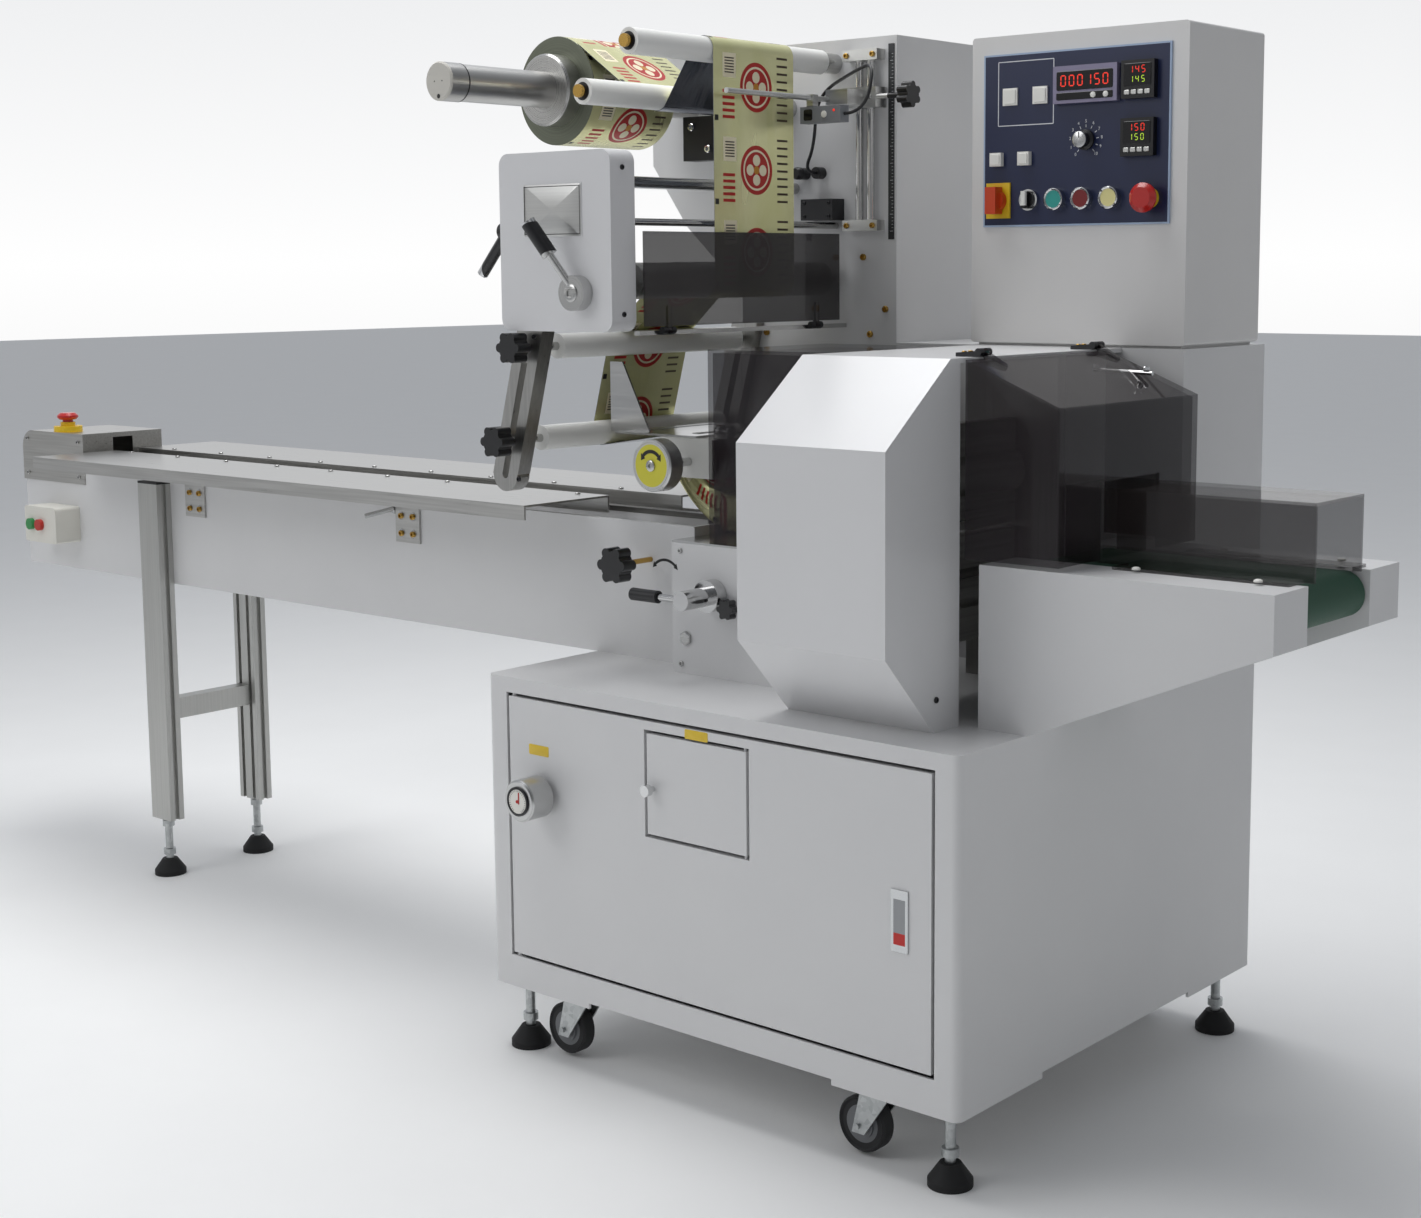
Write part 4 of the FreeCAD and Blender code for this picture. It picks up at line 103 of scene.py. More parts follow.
world = bpy.data.worlds.new("studio_sky")
bpy.context.scene.world = world
world.use_nodes = True
sky = world.node_tree
aim = add(sky, "TexCoord").outputs["Generated"]
height = add(sky, "SeparateXYZ", {0: aim}).outputs[2]
band = add(sky, "MapRange", {0: height, 1: -0.5, 2: 0.9}).outputs[0]
shade = add(sky, "ValToRGB", {0: band})
stops = shade.color_ramp.elements
stops[0].position, stops[0].color = 0.0, linear("B9B9B9")
stops[1].position, stops[1].color = 1.0, linear("CDD1D8")
middle = stops.new(0.36)
middle.color = linear("FFFFFF")
upper = stops.new(0.62)
upper.color = linear("CACDD2")
sky.links.new(shade.outputs[0], sky.nodes["Background"].inputs["Color"])
sides = add(sky, "SeparateXYZ", {0: aim}).outputs
to_right = add(sky, "MapRange", {0: sides[0], 1: -0.4, 2: 0.7, 3: 1.0, 4: 0.28}).outputs[0]
to_back = add(sky, "MapRange", {0: sides[1], 1: -0.9, 2: 0.3, 3: 0.5, 4: 1.0}).outputs[0]
strength = add(sky, "Math", {0: to_right, 1: to_back}, operation="MULTIPLY").outputs[0]
sky.links.new(strength, sky.nodes["Background"].inputs["Strength"])

for name, spot, target, size, power in (
        ("key_lamp", (-1.6, -3.4, 3.2), (0.2, -0.2, 0.9), 2.4, 30),
        ("fill_lamp", (3.6, -1.6, 2.4), (0.6, 0.0, 0.9), 2.2, 4),
        ("top_lamp", (-0.2, 0.1, 3.9), (-0.2, 0.0, 0.8), 2.6, 85)):
    lamp = bpy.data.lights.new(name, "AREA")
    lamp.shape, lamp.size, lamp.energy = "DISK", size, power
    holder = bpy.data.objects.new(name, lamp)
    bpy.context.collection.objects.link(holder)
    holder.location = spot
    holder.rotation_euler = (Vector(target) - Vector(spot)).to_track_quat("-Z", "Y").to_euler()

side = np.linspace(-30, 30, 41)
ground_x, ground_y = np.meshgrid(side, side, indexing="ij")
ground_points = np.stack([ground_x, ground_y, np.zeros_like(ground_x)], -1)


def build(name, grids, finish, body, crease=35):
    """One mesh from grids of points (rows, columns, 3). A grid is (points, wrap) or (points, wrap, uv):
    quad (i, j) joins (i, j), (i, j+1), (i+1, j+1), (i+1, j), and wrap joins the last column to the
    first. Doubled points are merged and the faces turned outwards, then the piece rides its body."""
    points, faces, charts, base = [], [], [], 0
    for grid in grids:
        p, wrap = grid[0], grid[1]
        rows, cols = p.shape[:2]
        across = cols if wrap else cols - 1
        i, j = (k.ravel() for k in np.meshgrid(np.arange(rows - 1), np.arange(across), indexing="ij"))
        k = (j + 1) % cols
        faces.append(np.stack([i * cols + j, i * cols + k, (i + 1) * cols + k, (i + 1) * cols + j], 1)
                     + base)
        if len(grid) > 2:
            uv = grid[2]
        else:
            uv = np.stack(np.meshgrid(np.linspace(0, 1, rows), np.linspace(0, 1, across + 1),
                                      indexing="ij"), -1)
        charts.append(np.stack([uv[i, j], uv[i, j + 1], uv[i + 1, j + 1], uv[i + 1, j]], 1))
        points.append(p.reshape(-1, 3))
        base += rows * cols
    mesh = bpy.data.meshes.new(name)
    mesh.from_pydata(np.concatenate(points), [], np.concatenate(faces).tolist())
    layer = mesh.uv_layers.new(name="UVMap")
    layer.data.foreach_set("uv", np.concatenate(charts).astype(np.float32).ravel())
    work = bmesh.new()
    work.from_mesh(mesh)
    bmesh.ops.remove_doubles(work, verts=work.verts, dist=2e-6)
    bmesh.ops.dissolve_degenerate(work, edges=work.edges, dist=1e-7)
    bmesh.ops.recalc_face_normals(work, faces=work.faces)
    work.to_mesh(mesh)
    work.free()
    mesh.polygons.foreach_set("use_smooth", np.ones(len(mesh.polygons), bool))
    mesh.set_sharp_from_angle(angle=math.radians(crease))
    mesh.materials.append(finish)
    piece = bpy.data.objects.new(name, mesh)
    bpy.context.collection.objects.link(piece)
    if body:
        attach(piece, body)
    return piece


floor_paint = paint("floor_matt_paint", "FBFBFA", "F7F7F6", 0.8, 0.02, 0.02)
floor = build("floor", [(ground_points, False)], floor_paint, None)

yaw, pitch, roll = (math.radians(a) for a in (39.8207, 7.2173, -0.3219))
forward = Vector((-math.sin(yaw) * math.cos(pitch), math.cos(yaw) * math.cos(pitch), -math.sin(pitch)))
level = Vector((math.cos(yaw), math.sin(yaw), 0))
upward = level.cross(forward)
tilted_right = math.cos(roll) * level + math.sin(roll) * upward
tilted_up = math.cos(roll) * upward - math.sin(roll) * level
lens = bpy.data.cameras.new("camera")
lens.sensor_fit, lens.sensor_width, lens.lens = "HORIZONTAL", 36, 52.465
lens.shift_x, lens.shift_y, lens.clip_end = -0.0509, -0.0552, 100
camera = bpy.data.objects.new("camera", lens)
bpy.context.collection.objects.link(camera)
turn = Matrix((tilted_right, tilted_up, -forward)).transposed().to_4x4()
camera.matrix_world = Matrix.Translation((2.4374, -2.3402, 1.1359)) @ turn
bpy.context.scene.camera = camera
bpy.context.scene.view_settings.view_transform = "Standard"

# The base cabinet: folded sheet steel, welded and powder coated warm white, with a hinged door, a small
# hatch in it, a bright latch, a setting dial and two bare yellow plates.
WHITE = ("DEDEDE", "D6D6D7")


def dress(nodes, finish):
    """Gives one finish to every slot of the named CAD nodes."""
    for name in nodes.split():
        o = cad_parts[name]
        if not o.material_slots:
            o.data.materials.append(finish)
        for entry in o.material_slots:
            entry.material = finish


def inside(t, where, low, high):
    """1 in the box between two corners, else 0: the largest of |p - middle| - half size is below 0."""
    a, b = at(*low), at(*high)
    off = add(t, "VectorMath", {0: where, 1: tuple((a + b) / 2)}, operation="SUBTRACT").outputs[0]
    off = add(t, "VectorMath", {0: off}, operation="ABSOLUTE").outputs[0]
    off = add(t, "VectorMath", {0: off, 1: tuple(abs(b - a) / 2)}, operation="SUBTRACT").outputs[0]
    over = add(t, "SeparateXYZ", {0: off}).outputs
    most = add(t, "Math", {0: over[0], 1: over[1]}, operation="MAXIMUM").outputs[0]
    most = add(t, "Math", {0: most, 1: over[2]}, operation="MAXIMUM").outputs[0]
    return add(t, "Math", {0: most, 1: 0.0}, operation="LESS_THAN").outputs[0]


def from_axis(t, where, centre, axis):
    """Distance in metres from the line through centre along one axis, which is dropped from both."""
    keep = tuple(float(a != axis) for a in "xyz")
    flat = add(t, "VectorMath", {0: where, 1: keep}, operation="MULTIPLY").outputs[0]
    middle = tuple(at(*centre) * np.array(keep))
    return add(t, "VectorMath", {0: flat, 1: middle}, operation="DISTANCE").outputs["Value"]


def recoat(finish, mask, tone, metal, rough):
    """Where the mask is 1 the surface takes another colour, metalness and roughness."""
    t = finish.node_tree
    s = t.nodes["Principled BSDF"]
    for key, value in (("Base Color", linear(tone)), ("Metallic", metal), ("Roughness", rough)):
        a, b, out = (6, 7, 2) if key == "Base Color" else (2, 3, 0)
        socket = s.inputs[key]
        before = socket.links[0].from_socket if socket.links else socket.default_value
        kind = "RGBA" if key == "Base Color" else "FLOAT"
        mixed = add(t, "Mix", {0: mask, a: before, b: value}, data_type=kind).outputs[out]
        t.links.new(mixed, socket)


def patch(finish, low, high, tone, metal, rough):
    """Recoats what lies in the box between two corners."""
    t = finish.node_tree
    where = next(n for n in t.nodes if n.type == "TEX_COORD").outputs["Object"]
    recoat(finish, inside(t, where, low, high), tone, metal, rough)


def disc(finish, centre, axis, radius, tone, metal, rough, low=None, high=None):
    """Recoats what is nearer than the radius to a line along the axis, within a box if one is given."""
    t = finish.node_tree
    where = next(n for n in t.nodes if n.type == "TEX_COORD").outputs["Object"]
    far = from_axis(t, where, centre, axis)
    mask = add(t, "Math", {0: far, 1: radius / 1000}, operation="LESS_THAN").outputs[0]
    if low:
        mask = add(t, "Math", {0: mask, 1: inside(t, where, low, high)}, operation="MULTIPLY").outputs[0]
    recoat(finish, mask, tone, metal, rough)


# Powder coat, cured on sheet: satin, a fine orange peel drawn at 3 mm so that it shows.
powder_coat = paint("powder_coat_white", *WHITE, 0.36, ior=1.5)
door_coat = paint("powder_coat_door", *WHITE, 0.36, ior=1.5)
patch(door_coat, (-102, -3, 298), (-74, -0.1, 379), "C9CBCC", 1.0, 0.16)
patch(door_coat, (-97, -3, 316), (-79, -0.1, 366), "8F9193", 1.0, 0.3)
patch(door_coat, (-97, -3, 308), (-79, -0.1, 323), "C4221A", 0.0, 0.35)
hatch_coat = paint("powder_coat_hatch", *WHITE, 0.36, ior=1.5)
disc(hatch_coat, (-503, 0, 439), "y", 9, "D5D6D6", 1.0, 0.1, (-515, -30, 420), (-490, -0.2, 460))
dress("cabinet_shell infeed_frame bed_housing rear_housing", powder_coat)
dress("cabinet_door", door_coat)
dress("hatch", hatch_coat)

UNIT = {"x": (1, 0, 0), "-x": (-1, 0, 0), "y": (0, 1, 0), "-y": (0, -1, 0), "z": (0, 0, 1), "-z": (0, 0, -1)}


def slab(centre, across, up, width, tall, corner, rows):
    """A rounded rectangle carried along across x up: each row (inset, proud) is the outline drawn in by
    inset at that height, in millimetres, and both ends are closed to their middle."""
    a, b = np.array(UNIT[across], float), np.array(UNIT[up], float)
    out = np.cross(a, b)
    angle = np.linspace(0, math.pi / 2, 6) + np.array([[0], [1], [2], [3]]) * math.pi / 2
    right = np.array([[1], [-1], [-1], [1]]) * np.ones((1, 6))
    top = np.array([[1], [1], [-1], [-1]]) * np.ones((1, 6))
    rings = []
    for inset, proud in [(None, rows[0][1]), *rows, (None, rows[-1][1])]:
        if inset is None:
            u, v = np.zeros(24), np.zeros(24)
        else:
            r = max(min(corner, width / 2, tall / 2) - inset, 0.05)
            u = (right * (width / 2 - inset - r) + r * np.cos(angle)).ravel()
            v = (top * (tall / 2 - inset - r) + r * np.sin(angle)).ravel()
        rings.append(at(*centre) + (u[:, None] * a + v[:, None] * b + proud * out) / 1000)
    return np.array(rings), True


# Blank rating plates: yellow anodised foil, 0.4 mm thick, glued on and left bare.
yellow_foil = paint("yellow_foil", "E6C63A", "DDBB2E", 0.4, 0.002, 0.1)
blank = [(0, 0), (0, 0.3), (0.3, 0.4)]
build("door_plates", [slab((-725, 0, 459.5), "x", "z", 40, 15, 2, blank),
                      slab((-423.5, 0, 523.5), "x", "z", 41, 13, 2, blank)], yellow_foil, "door")


def turned(centre, axis, rows, steps=40):
    """Rows (radius, height) carried round an axis; a row (radius, height, sides) follows a regular
    polygon, whose radius is inradius / cos(angle from the middle of the nearest flat)."""
    w = np.array(UNIT[axis] if isinstance(axis, str) else axis, float)
    w /= np.linalg.norm(w)
    u = np.cross(w, (0, 0, 1) if abs(w[2]) < 0.9 else (0, 1, 0))
    u /= np.linalg.norm(u)
    v = np.cross(w, u)
    angle = np.arange(steps) * 2 * math.pi / steps
    rings = []
    for row in rows:
        radius = np.full(steps, float(row[0]))
        if len(row) > 2:
            wedge = 2 * math.pi / row[2]
            radius = radius / np.cos((angle + wedge / 2) % wedge - wedge / 2)
        offset = radius[:, None] * (np.cos(angle)[:, None] * u + np.sin(angle)[:, None] * v) + row[1] * w
        rings.append(at(*centre) + offset / 1000)
    return np.array(rings), True


def figures(name, entries, finish, body):
    """Plain numerals as flat faces: each entry is text, height, centre, across and up, and a point
    (p, q) of the built-in letter shape goes to centre + p across + q up."""
    points, faces, base = [], [], 0
    for text, size, centre, across, up in entries:
        curve = bpy.data.curves.new("figure", "FONT")
        curve.body, curve.size = text, size / 1000
        curve.align_x, curve.align_y, curve.resolution_u = "CENTER", "CENTER", 3
        holder = bpy.data.objects.new("figure", curve)
        bpy.context.collection.objects.link(holder)
        bpy.context.view_layer.update()
        flat = bpy.data.meshes.new_from_object(holder)
        flat.calc_loop_triangles()
        p = np.empty(len(flat.vertices) * 3)
        flat.vertices.foreach_get("co", p)
        p = p.reshape(-1, 3)
        k = np.empty(len(flat.loop_triangles) * 3, np.int32)
        flat.loop_triangles.foreach_get("vertices", k)
        a, b = np.array(UNIT[across], float), np.array(UNIT[up], float)
        points.append(at(*centre) + p[:, :1] * a + p[:, 1:2] * b)
        faces.append(k.reshape(-1, 3) + base)
        base += len(p)
        bpy.data.objects.remove(holder)
        bpy.data.meshes.remove(flat)
    mesh = bpy.data.meshes.new(name)
    mesh.from_pydata(np.concatenate(points), [], np.concatenate(faces).tolist())
    mesh.materials.append(finish)
    piece = bpy.data.objects.new(name, mesh)
    bpy.context.collection.objects.link(piece)
    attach(piece, body)
    return piece


def ticks(centre, across, up, r1, r2, first, last, count, wide):
    """Radial marks between two radii, spread evenly between two angles in degrees, one quad each."""
    a, b = np.array(UNIT[across], float), np.array(UNIT[up], float)
    angle = np.radians(np.linspace(first, last, count))
    ray = np.cos(angle)[:, None] * a + np.sin(angle)[:, None] * b
    rib = -np.sin(angle)[:, None] * a + np.cos(angle)[:, None] * b
    quad = [ray * r + rib * s * wide / 2 for r, s in ((r1, -1), (r1, 1), (r2, 1), (r2, -1))]
    marks = at(*centre) + np.stack(quad, 1) / 1000
    return [(marks[i][[0, 1, 3, 2]].reshape(2, 2, 3), False) for i in range(count)]


# The dial: a turned aluminium handwheel with a gauge under glass in its hub; the black ring is moulded.
black_nylon = paint("black_nylon", "17171A", "202024", 0.38, 0.0015, 0.25)
dial_white = paint("gauge_enamel", "EFEEE8", "E6E4DC", 0.3, 0.002, 0.03)
ink_black = paint("printing_ink_black", "141414", "1C1C1C", 0.5, 0.002, 0.02)
red_enamel = paint("red_enamel", "C4281C", "B21F16", 0.32, 0.002, 0.04)


def turned_metal(name, tone, dark, centre, axis, rough):
    """Lathe rings: noise read at the distance from the axis alone, with a 1.2 mm feed, drives colour,
    roughness and relief."""
    m, t, s, where = start(name, metallic=1.0)
    far = from_axis(t, where, centre, axis)
    rings = add(t, "TexNoise", {"W": far, "Scale": 800.0, "Detail": 2.0}, noise_dimensions="1D").outputs[0]
    tint = add(t, "Mix", {0: rings, 6: linear(dark), 7: linear(tone)}, data_type="RGBA")
    t.links.new(tint.outputs[2], s.inputs["Base Color"])
    gloss = add(t, "MapRange", {0: rings, 3: rough - 0.08, 4: rough + 0.08})
    t.links.new(gloss.outputs[0], s.inputs["Roughness"])
    relief = add(t, "Bump", {"Height": rings, "Strength": 0.25, "Distance": 0.0003})
    t.links.new(relief.outputs[0], s.inputs["Normal"])
    return m


dress("setting_dial", turned_metal("turned_aluminium_dial", "DCDCDA", "A9AAAB", (-716, 0, 397), "y", 0.3))
build("dial_ring", [turned((-716, -50, 397), "-y", [(0, -1), (21, -1), (21, 2.2), (18.6, 3), (17.6, 1.4),
                                                  (0, 1.4)])], black_nylon, "dial")
build("dial_face", [turned((-716, -51, 397), "-y", [(0, 0.2), (17.2, 0.2), (17.2, 0.8), (0, 0.8)])],
      dial_white, "dial")
build("dial_marks", ticks((-716, -52, 397), "x", "z", 14, 16.4, -60, 240, 26, 0.7), ink_black, "dial")
build("dial_pointer", [slab((-713, -52, 402), "x", "z", 2.2, 17, 1, [(0, 0), (0.2, 0.5)]),
                       turned((-716, -52, 397), "-y", [(0, 0), (2.6, 0), (2.2, 1), (0, 1.2)])],
      red_enamel, "dial")

# Six levelling feet and four casters: rubber pads pressed on zinc-plated studs with lock nuts, and
# nylon wheels with black tyres in bent zinc-plated forks.


def zinc(name):
    """Bright zinc plate: cell noise in 6 mm spangles shifts colour and roughness a little."""
    m, t, s, where = start(name, metallic=1.0)
    cells = add(t, "TexVoronoi", {"Vector": where, "Scale": 160.0}).outputs["Color"]
    level_of = add(t, "SeparateXYZ", {0: cells}).outputs[0]
    tint = add(t, "Mix", {0: level_of, 6: linear("A9ACAD"), 7: linear("C3C6C6")}, data_type="RGBA")
    t.links.new(tint.outputs[2], s.inputs["Base Color"])
    gloss = add(t, "MapRange", {0: level_of, 3: 0.3, 4: 0.44})
    t.links.new(gloss.outputs[0], s.inputs["Roughness"])
    return m


feet = zinc("zinc_plate_feet")
patch(feet, (-2100, -50, -5), (60, 800, 30.3), "1A1A1B", 0.0, 0.72)
dress("levelling_feet", feet)
forks = zinc("zinc_plate_forks")
dress("caster_forks", forks)
tyre = paint("black_tyre_rubber", "18181A", "242426", 0.62, 0.002, 0.3)
for centre in (-715, -175):
    disc(tyre, (centre, 0, 42.5), "y", 25, "6E7073", 0.0, 0.45)
    disc(tyre, (centre, 0, 42.5), "y", 10, "9A9C9E", 0.6, 0.4)
dress("caster_wheel_front_left caster_wheel_front_right caster_wheel_rear_left caster_wheel_rear_right",
      tyre)

# The infeed: a coated channel on two anodised T-slot posts with black caps, brushed stainless guides
# on bent brackets, a steel chain, and a stainless end case with its stop button and a switch station.


def brushed(name, tone, dark, rough, along, line=0.0035, depth=0.18):
    """Brush lines: noise stretched 50 times along one axis drives colour, roughness and relief. The
    line is wider than the real 0.3 mm so that it shows."""
    m, t, s, where = start(name, metallic=1.0)
    scale = tuple(1 / line / (50 if a == along else 1) for a in "xyz")
    stretched = add(t, "Mapping", {0: where, 3: scale}).outputs[0]
    lines = add(t, "TexNoise", {"Vector": stretched, "Scale": 1.0, "Detail": 4.0}).outputs[0]
    tint = add(t, "Mix", {0: lines, 6: linear(dark), 7: linear(tone)}, data_type="RGBA")
    t.links.new(tint.outputs[2], s.inputs["Base Color"])
    gloss = add(t, "MapRange", {0: lines, 3: rough - 0.08, 4: rough + 0.1})
    t.links.new(gloss.outputs[0], s.inputs["Roughness"])
    relief = add(t, "Bump", {"Height": lines, "Strength": depth, "Distance": 0.0002})
    t.links.new(relief.outputs[0], s.inputs["Normal"])
    return m


posts = brushed("anodised_aluminium_posts", "C9C9C6", "ABABA8", 0.42, "z")
patch(posts, (-2010, 190, 745.9), (-1930, 460, 752), "1A1A1B", 0.0, 0.5)
dress("infeed_legs", posts)
dress("product_guides", brushed("brushed_stainless_guides", "D2D1CE", "A8A7A4", 0.3, "x"))
dress("infeed_chain", brushed("oiled_chain_steel", "8C8B88", "5B5A57", 0.38, "x", 0.006, 0.4))
end_steel = brushed("brushed_stainless_case", "D0CFCB", "A19F9B", 0.3, "x")
disc(end_steel, (-2318, 250, 0), "z", 28, "E3BE1E", 0.0, 0.4, (-2350, 200, 823.9), (-2290, 290, 850))
dress("end_case", end_steel)
mushroom = paint("red_moulded_cap", "C2201A", "AE1814", 0.3, 0.004, 0.05, coat_weight=0.3)
dress("infeed_stop_button panel_stop_button", mushroom)
station = paint("white_moulded_box", "E4E2DA", "DAD8CF", 0.42, 0.0015, 0.2)
patch(station, (-2346, 150, 634), (-2322, 171.9, 660), "2F8A4A", 0.0, 0.35)
patch(station, (-2315, 150, 634), (-2291, 171.9, 660), "B82A20", 0.0, 0.35)
dress("switch_station", station)


def screw(centre, axis, r, head=None):
    """A cap screw: rows of radius and height round its axis, with a hexagon socket sunk in the head."""
    h = head or r * 0.8
    return turned(centre, axis, [(0, -0.3), (r, -0.3), (r, h * 0.75), (r * 0.85, h), (r * 0.5, h, 6),
                                 (r * 0.5, h * 0.3, 6), (0, h * 0.3)], 24)


bright_screw = turned_metal("bright_screw_steel", "D8D8D6", "9C9C9B", (-1000, 0, 791), "x", 0.24)
brass_screw = paint("brass_screw", "C9A45A", "B08A41", 0.28, 0.002, 0.1, metallic=1.0)
guide_spots = [(x, y) for x in np.arange(-2120, -900, 152) for y in (262, 358)]
build("guide_screws", [screw((x, y, 791), "z", 4.2, 2.4) for x, y in guide_spots]
      + [screw((x, y, z), "-y", 4, 3) for x in (-2422, -2240) for y, z in ((222, 740), (222, 808))],
      bright_screw, "machine")
build("bracket_screws", [screw((x, 221, z), "-y", 5, 4)
                         for x in (-1873, -1844, -1277, -1248) for z in (705, 734)],
      brass_screw, "machine")
washer_rows = [(0, -0.2), (7.5, -0.2), (7.5, 0.8), (0, 0.8)]
build("bracket_washers", [turned((x, 221, z), "-y", washer_rows, 28)
                          for x in (-1873, -1844, -1277, -1248) for z in (705, 734)],
      bright_screw, "machine")

# The forming section: a coated bed housing with a stainless bed plate, a ground cast head that folds
# the film, a width handwheel with a yellow disc, a clamp lever and black star knobs.
dress("forming_plates", brushed("polished_stainless_bed", "D6D6D5", "AEAEAE", 0.2, "x", 0.005, 0.08))
head_cast = paint("painted_casting", "D9D9D5", "C6C6C2", 0.48, 0.002, 0.35)
dress("forming_head", head_cast)
wheel_disc = turned_metal("turned_aluminium_rim", "E2E2E0", "B4B5B6", (-605, 0, 863), "y", 0.3)
disc(wheel_disc, (-605, 0, 863), "y", 30, "D3CC3E", 0.0, 0.42, (-645, 105, 820), (-565, 118, 905))
dress("width_handwheel", wheel_disc)


def arrow(centre, radius, wide, first, last, head):
    """A flat arc arrow with two heads, facing -Y: half width w(s) runs along the arc's angle, rising
    to a head at each end and falling to a point."""
    s = np.concatenate([[0], [head, head], np.linspace(head, 1 - head, 24), [1 - head, 1 - head], [1]])
    w = np.concatenate([[0.02], [2.1, 1], np.full(24, 1.0), [1, 2.1], [0.02]]) * wide / 2
    a = np.radians(first + (last - first) * s)
    rings = []
    for offset, lift in ((-1, 0), (1, 0), (1, 0.35), (-1, 0.35)):
        r = radius + offset * w
        rings.append(at(*centre) + np.stack([r * np.cos(a), np.full_like(a, -lift), r * np.sin(a)], 1) / 1000)
    return np.stack(rings, 1), True


build("width_arrow", [arrow((-605, 112, 863), 20, 5, 20, 160, 0.16)], ink_black, "width_wheel")
build("width_cap", [turned((-605, 112, 863), "-y", [(0, -0.5), (8, -0.5), (8, 2), (6.5, 3), (3, 3, 6),
                                                   (3, 1, 6), (0, 1)])], bright_screw, "width_wheel")
build("bed_arrows", [arrow((-640, 176, 690), 30, 4, 35, 145, 0.14)], ink_black, "machine")
lever = brushed("chromed_lever", "DEDEDE", "B9B9B9", 0.12, "x", 0.01, 0.03)
patch(lever, (-650, 90, 640), (-594, 190, 720), "17171A", 0.0, 0.38)
dress("bed_lever", lever)
knobs = paint("black_moulded_knobs", "151517", "1E1E20", 0.3, 0.004, 0.1, coat_weight=0.2)
patch(knobs, (-1330, 170, 720), (-1290, 226, 760), "C8C9C9", 1.0, 0.25)
disc(knobs, (-715, 0, 709), "y", 4.6, "C6A055", 1.0, 0.25, (-725, 165.2, 700), (-705, 230, 720))
patch(knobs, (-880, 30, 1120), (-862, 60, 1150), "D0D1D2", 1.0, 0.14)
dress("clamp_knobs", knobs)
rule_steel = brushed("satin_rule_steel", "CFCFCC", "B5B5B2", 0.34, "x", 0.004, 0.05)
blade = [(0, 0), (0, 0.5), (0.3, 0.7)]
build("former_rules", [slab((-632, y, 899), "y", "-x", 150, 14, 1, blade) for y in (310,)]
      + [slab((-740, 310, 899), "y", "-x", 150, 14, 1, blade)], rule_steel, "machine")


def scale_marks(origin, along, side_way, length, step, long_mark):
    """Graduations from origin: quad k lies k steps along, and every fifth is twice as long."""
    a, b = np.array(UNIT[along], float), np.array(UNIT[side_way], float)
    k = np.arange(0, length, step)
    reach = np.where(np.arange(len(k)) % 5 == 0, long_mark, long_mark / 2)
    corners = [a * (k[:, None] + d) + b * (reach[:, None] * e) for d, e in ((0, 0), (0, 1), (0.5, 0), (0.5, 1))]
    marks = at(*origin) + np.stack(corners, 1) / 1000
    return [(marks[i].reshape(2, 2, 3), False) for i in range(len(k))]


build("former_rule_marks", scale_marks((-626, 238, 899.8), "y", "-x", 146, 4, 9)
      + scale_marks((-734, 238, 899.8), "y", "-x", 146, 4, 9), ink_black, "machine")
nuts = [(0, -0.3), (9, -0.3, 6), (9, 4, 6), (8, 5, 6), (0, 5)]
build("bed_screws", [turned((x, 176, z), "-y", nuts, 36) for x, z in ((-600, 610), (-380, 610))]
      + [screw((x, 176, z), "-y", 4, 3) for x in (-610, -360) for z in (572, 736)],
      bright_screw, "machine")
build("bed_blank_plate", [slab((-470, 176, 712), "x", "z", 46, 18, 2, blank)], rule_steel, "machine")

# The end sealer: two ground steel jaws on bearing plates behind a folded white hood, with smoked
# acrylic covers bent from 5 mm sheet before and behind it, on black hinges with brass screws.
dress("seal_cover", paint("gloss_coat_hood", "E2E2E3", "DBDBDC", 0.24, 0.004, 0.08, ior=1.5))
dress("seal_frame", brushed("ground_steel_plates", "B9B8B5", "8F8E8B", 0.34, "z"))
dress("upper_jaw lower_jaw", brushed("ground_jaw_steel", "B4B3B0", "848380", 0.3, "y"))
dress("cover_hinges", black_nylon)


def smoked(name, tone, clear):
    """Smoked acrylic: a dark tint seen through at a constant alpha, gloss with faint wipe marks."""
    m, t, s, where = start(name, ior=1.49, alpha=clear, coat_weight=0.3)
    s.inputs["Base Color"].default_value = linear(tone)
    marks = add(t, "TexNoise", {"Vector": where, "Scale": 14.0, "Detail": 5.0}).outputs[0]
    gloss = add(t, "MapRange", {0: marks, 3: 0.03, 4: 0.11})
    t.links.new(gloss.outputs[0], s.inputs["Roughness"])
    return m


dress("feed_guard", smoked("smoked_acrylic_guard", "241B20", 0.42))
dress("exit_cover", smoked("smoked_acrylic_cover", "251C20", 0.5))
dress("film_cover", smoked("smoked_acrylic_flap", "262022", 0.7))
dress("discharge_tunnel", smoked("smoked_acrylic_tunnel", "2B2322", 0.42))
chrome = paint("bright_chrome", "E4E4E4", "D6D6D6", 0.08, 0.02, 0.02, metallic=1.0)
build("guard_knob", [turned((-554, 225, 905), "-x", [(0, -0.5), (9.4, -0.5), (9.4, 3), (5, 6), (6, 12),
                                                   (10.2, 16), (10.6, 22), (8, 26), (0, 27)])],
      chrome, "machine")
hinge_spots = [(x, y) for x in (-122,) for y in (180, 194, 452, 466)]
build("hinge_screws", [screw((x, y, 1029), "z", 3.4, 2.2) for x, y in hinge_spots]
      + [screw((x, 524, z), "-y", 5, 4) for x, z in ((-547, 1152), (-505, 1074), (-534, 1036),
                                                   (-739, 1036))]
      + [screw((x, 504, z), "-y", 4.2, 3.6) for x in (-564, -515) for z in (1450, 1199)],
      brass_screw, "machine")
stay = turned((-88, 437, 998), (134, 0, -4), [(0, 0), (3, 0), (3, 90), (0, 90)], 20)
build("cover_stay", [stay, screw((-84, 437, 1002), "z", 5, 4), screw((-8, 437, 1000), "z", 5, 4)],
      chrome, "cover")
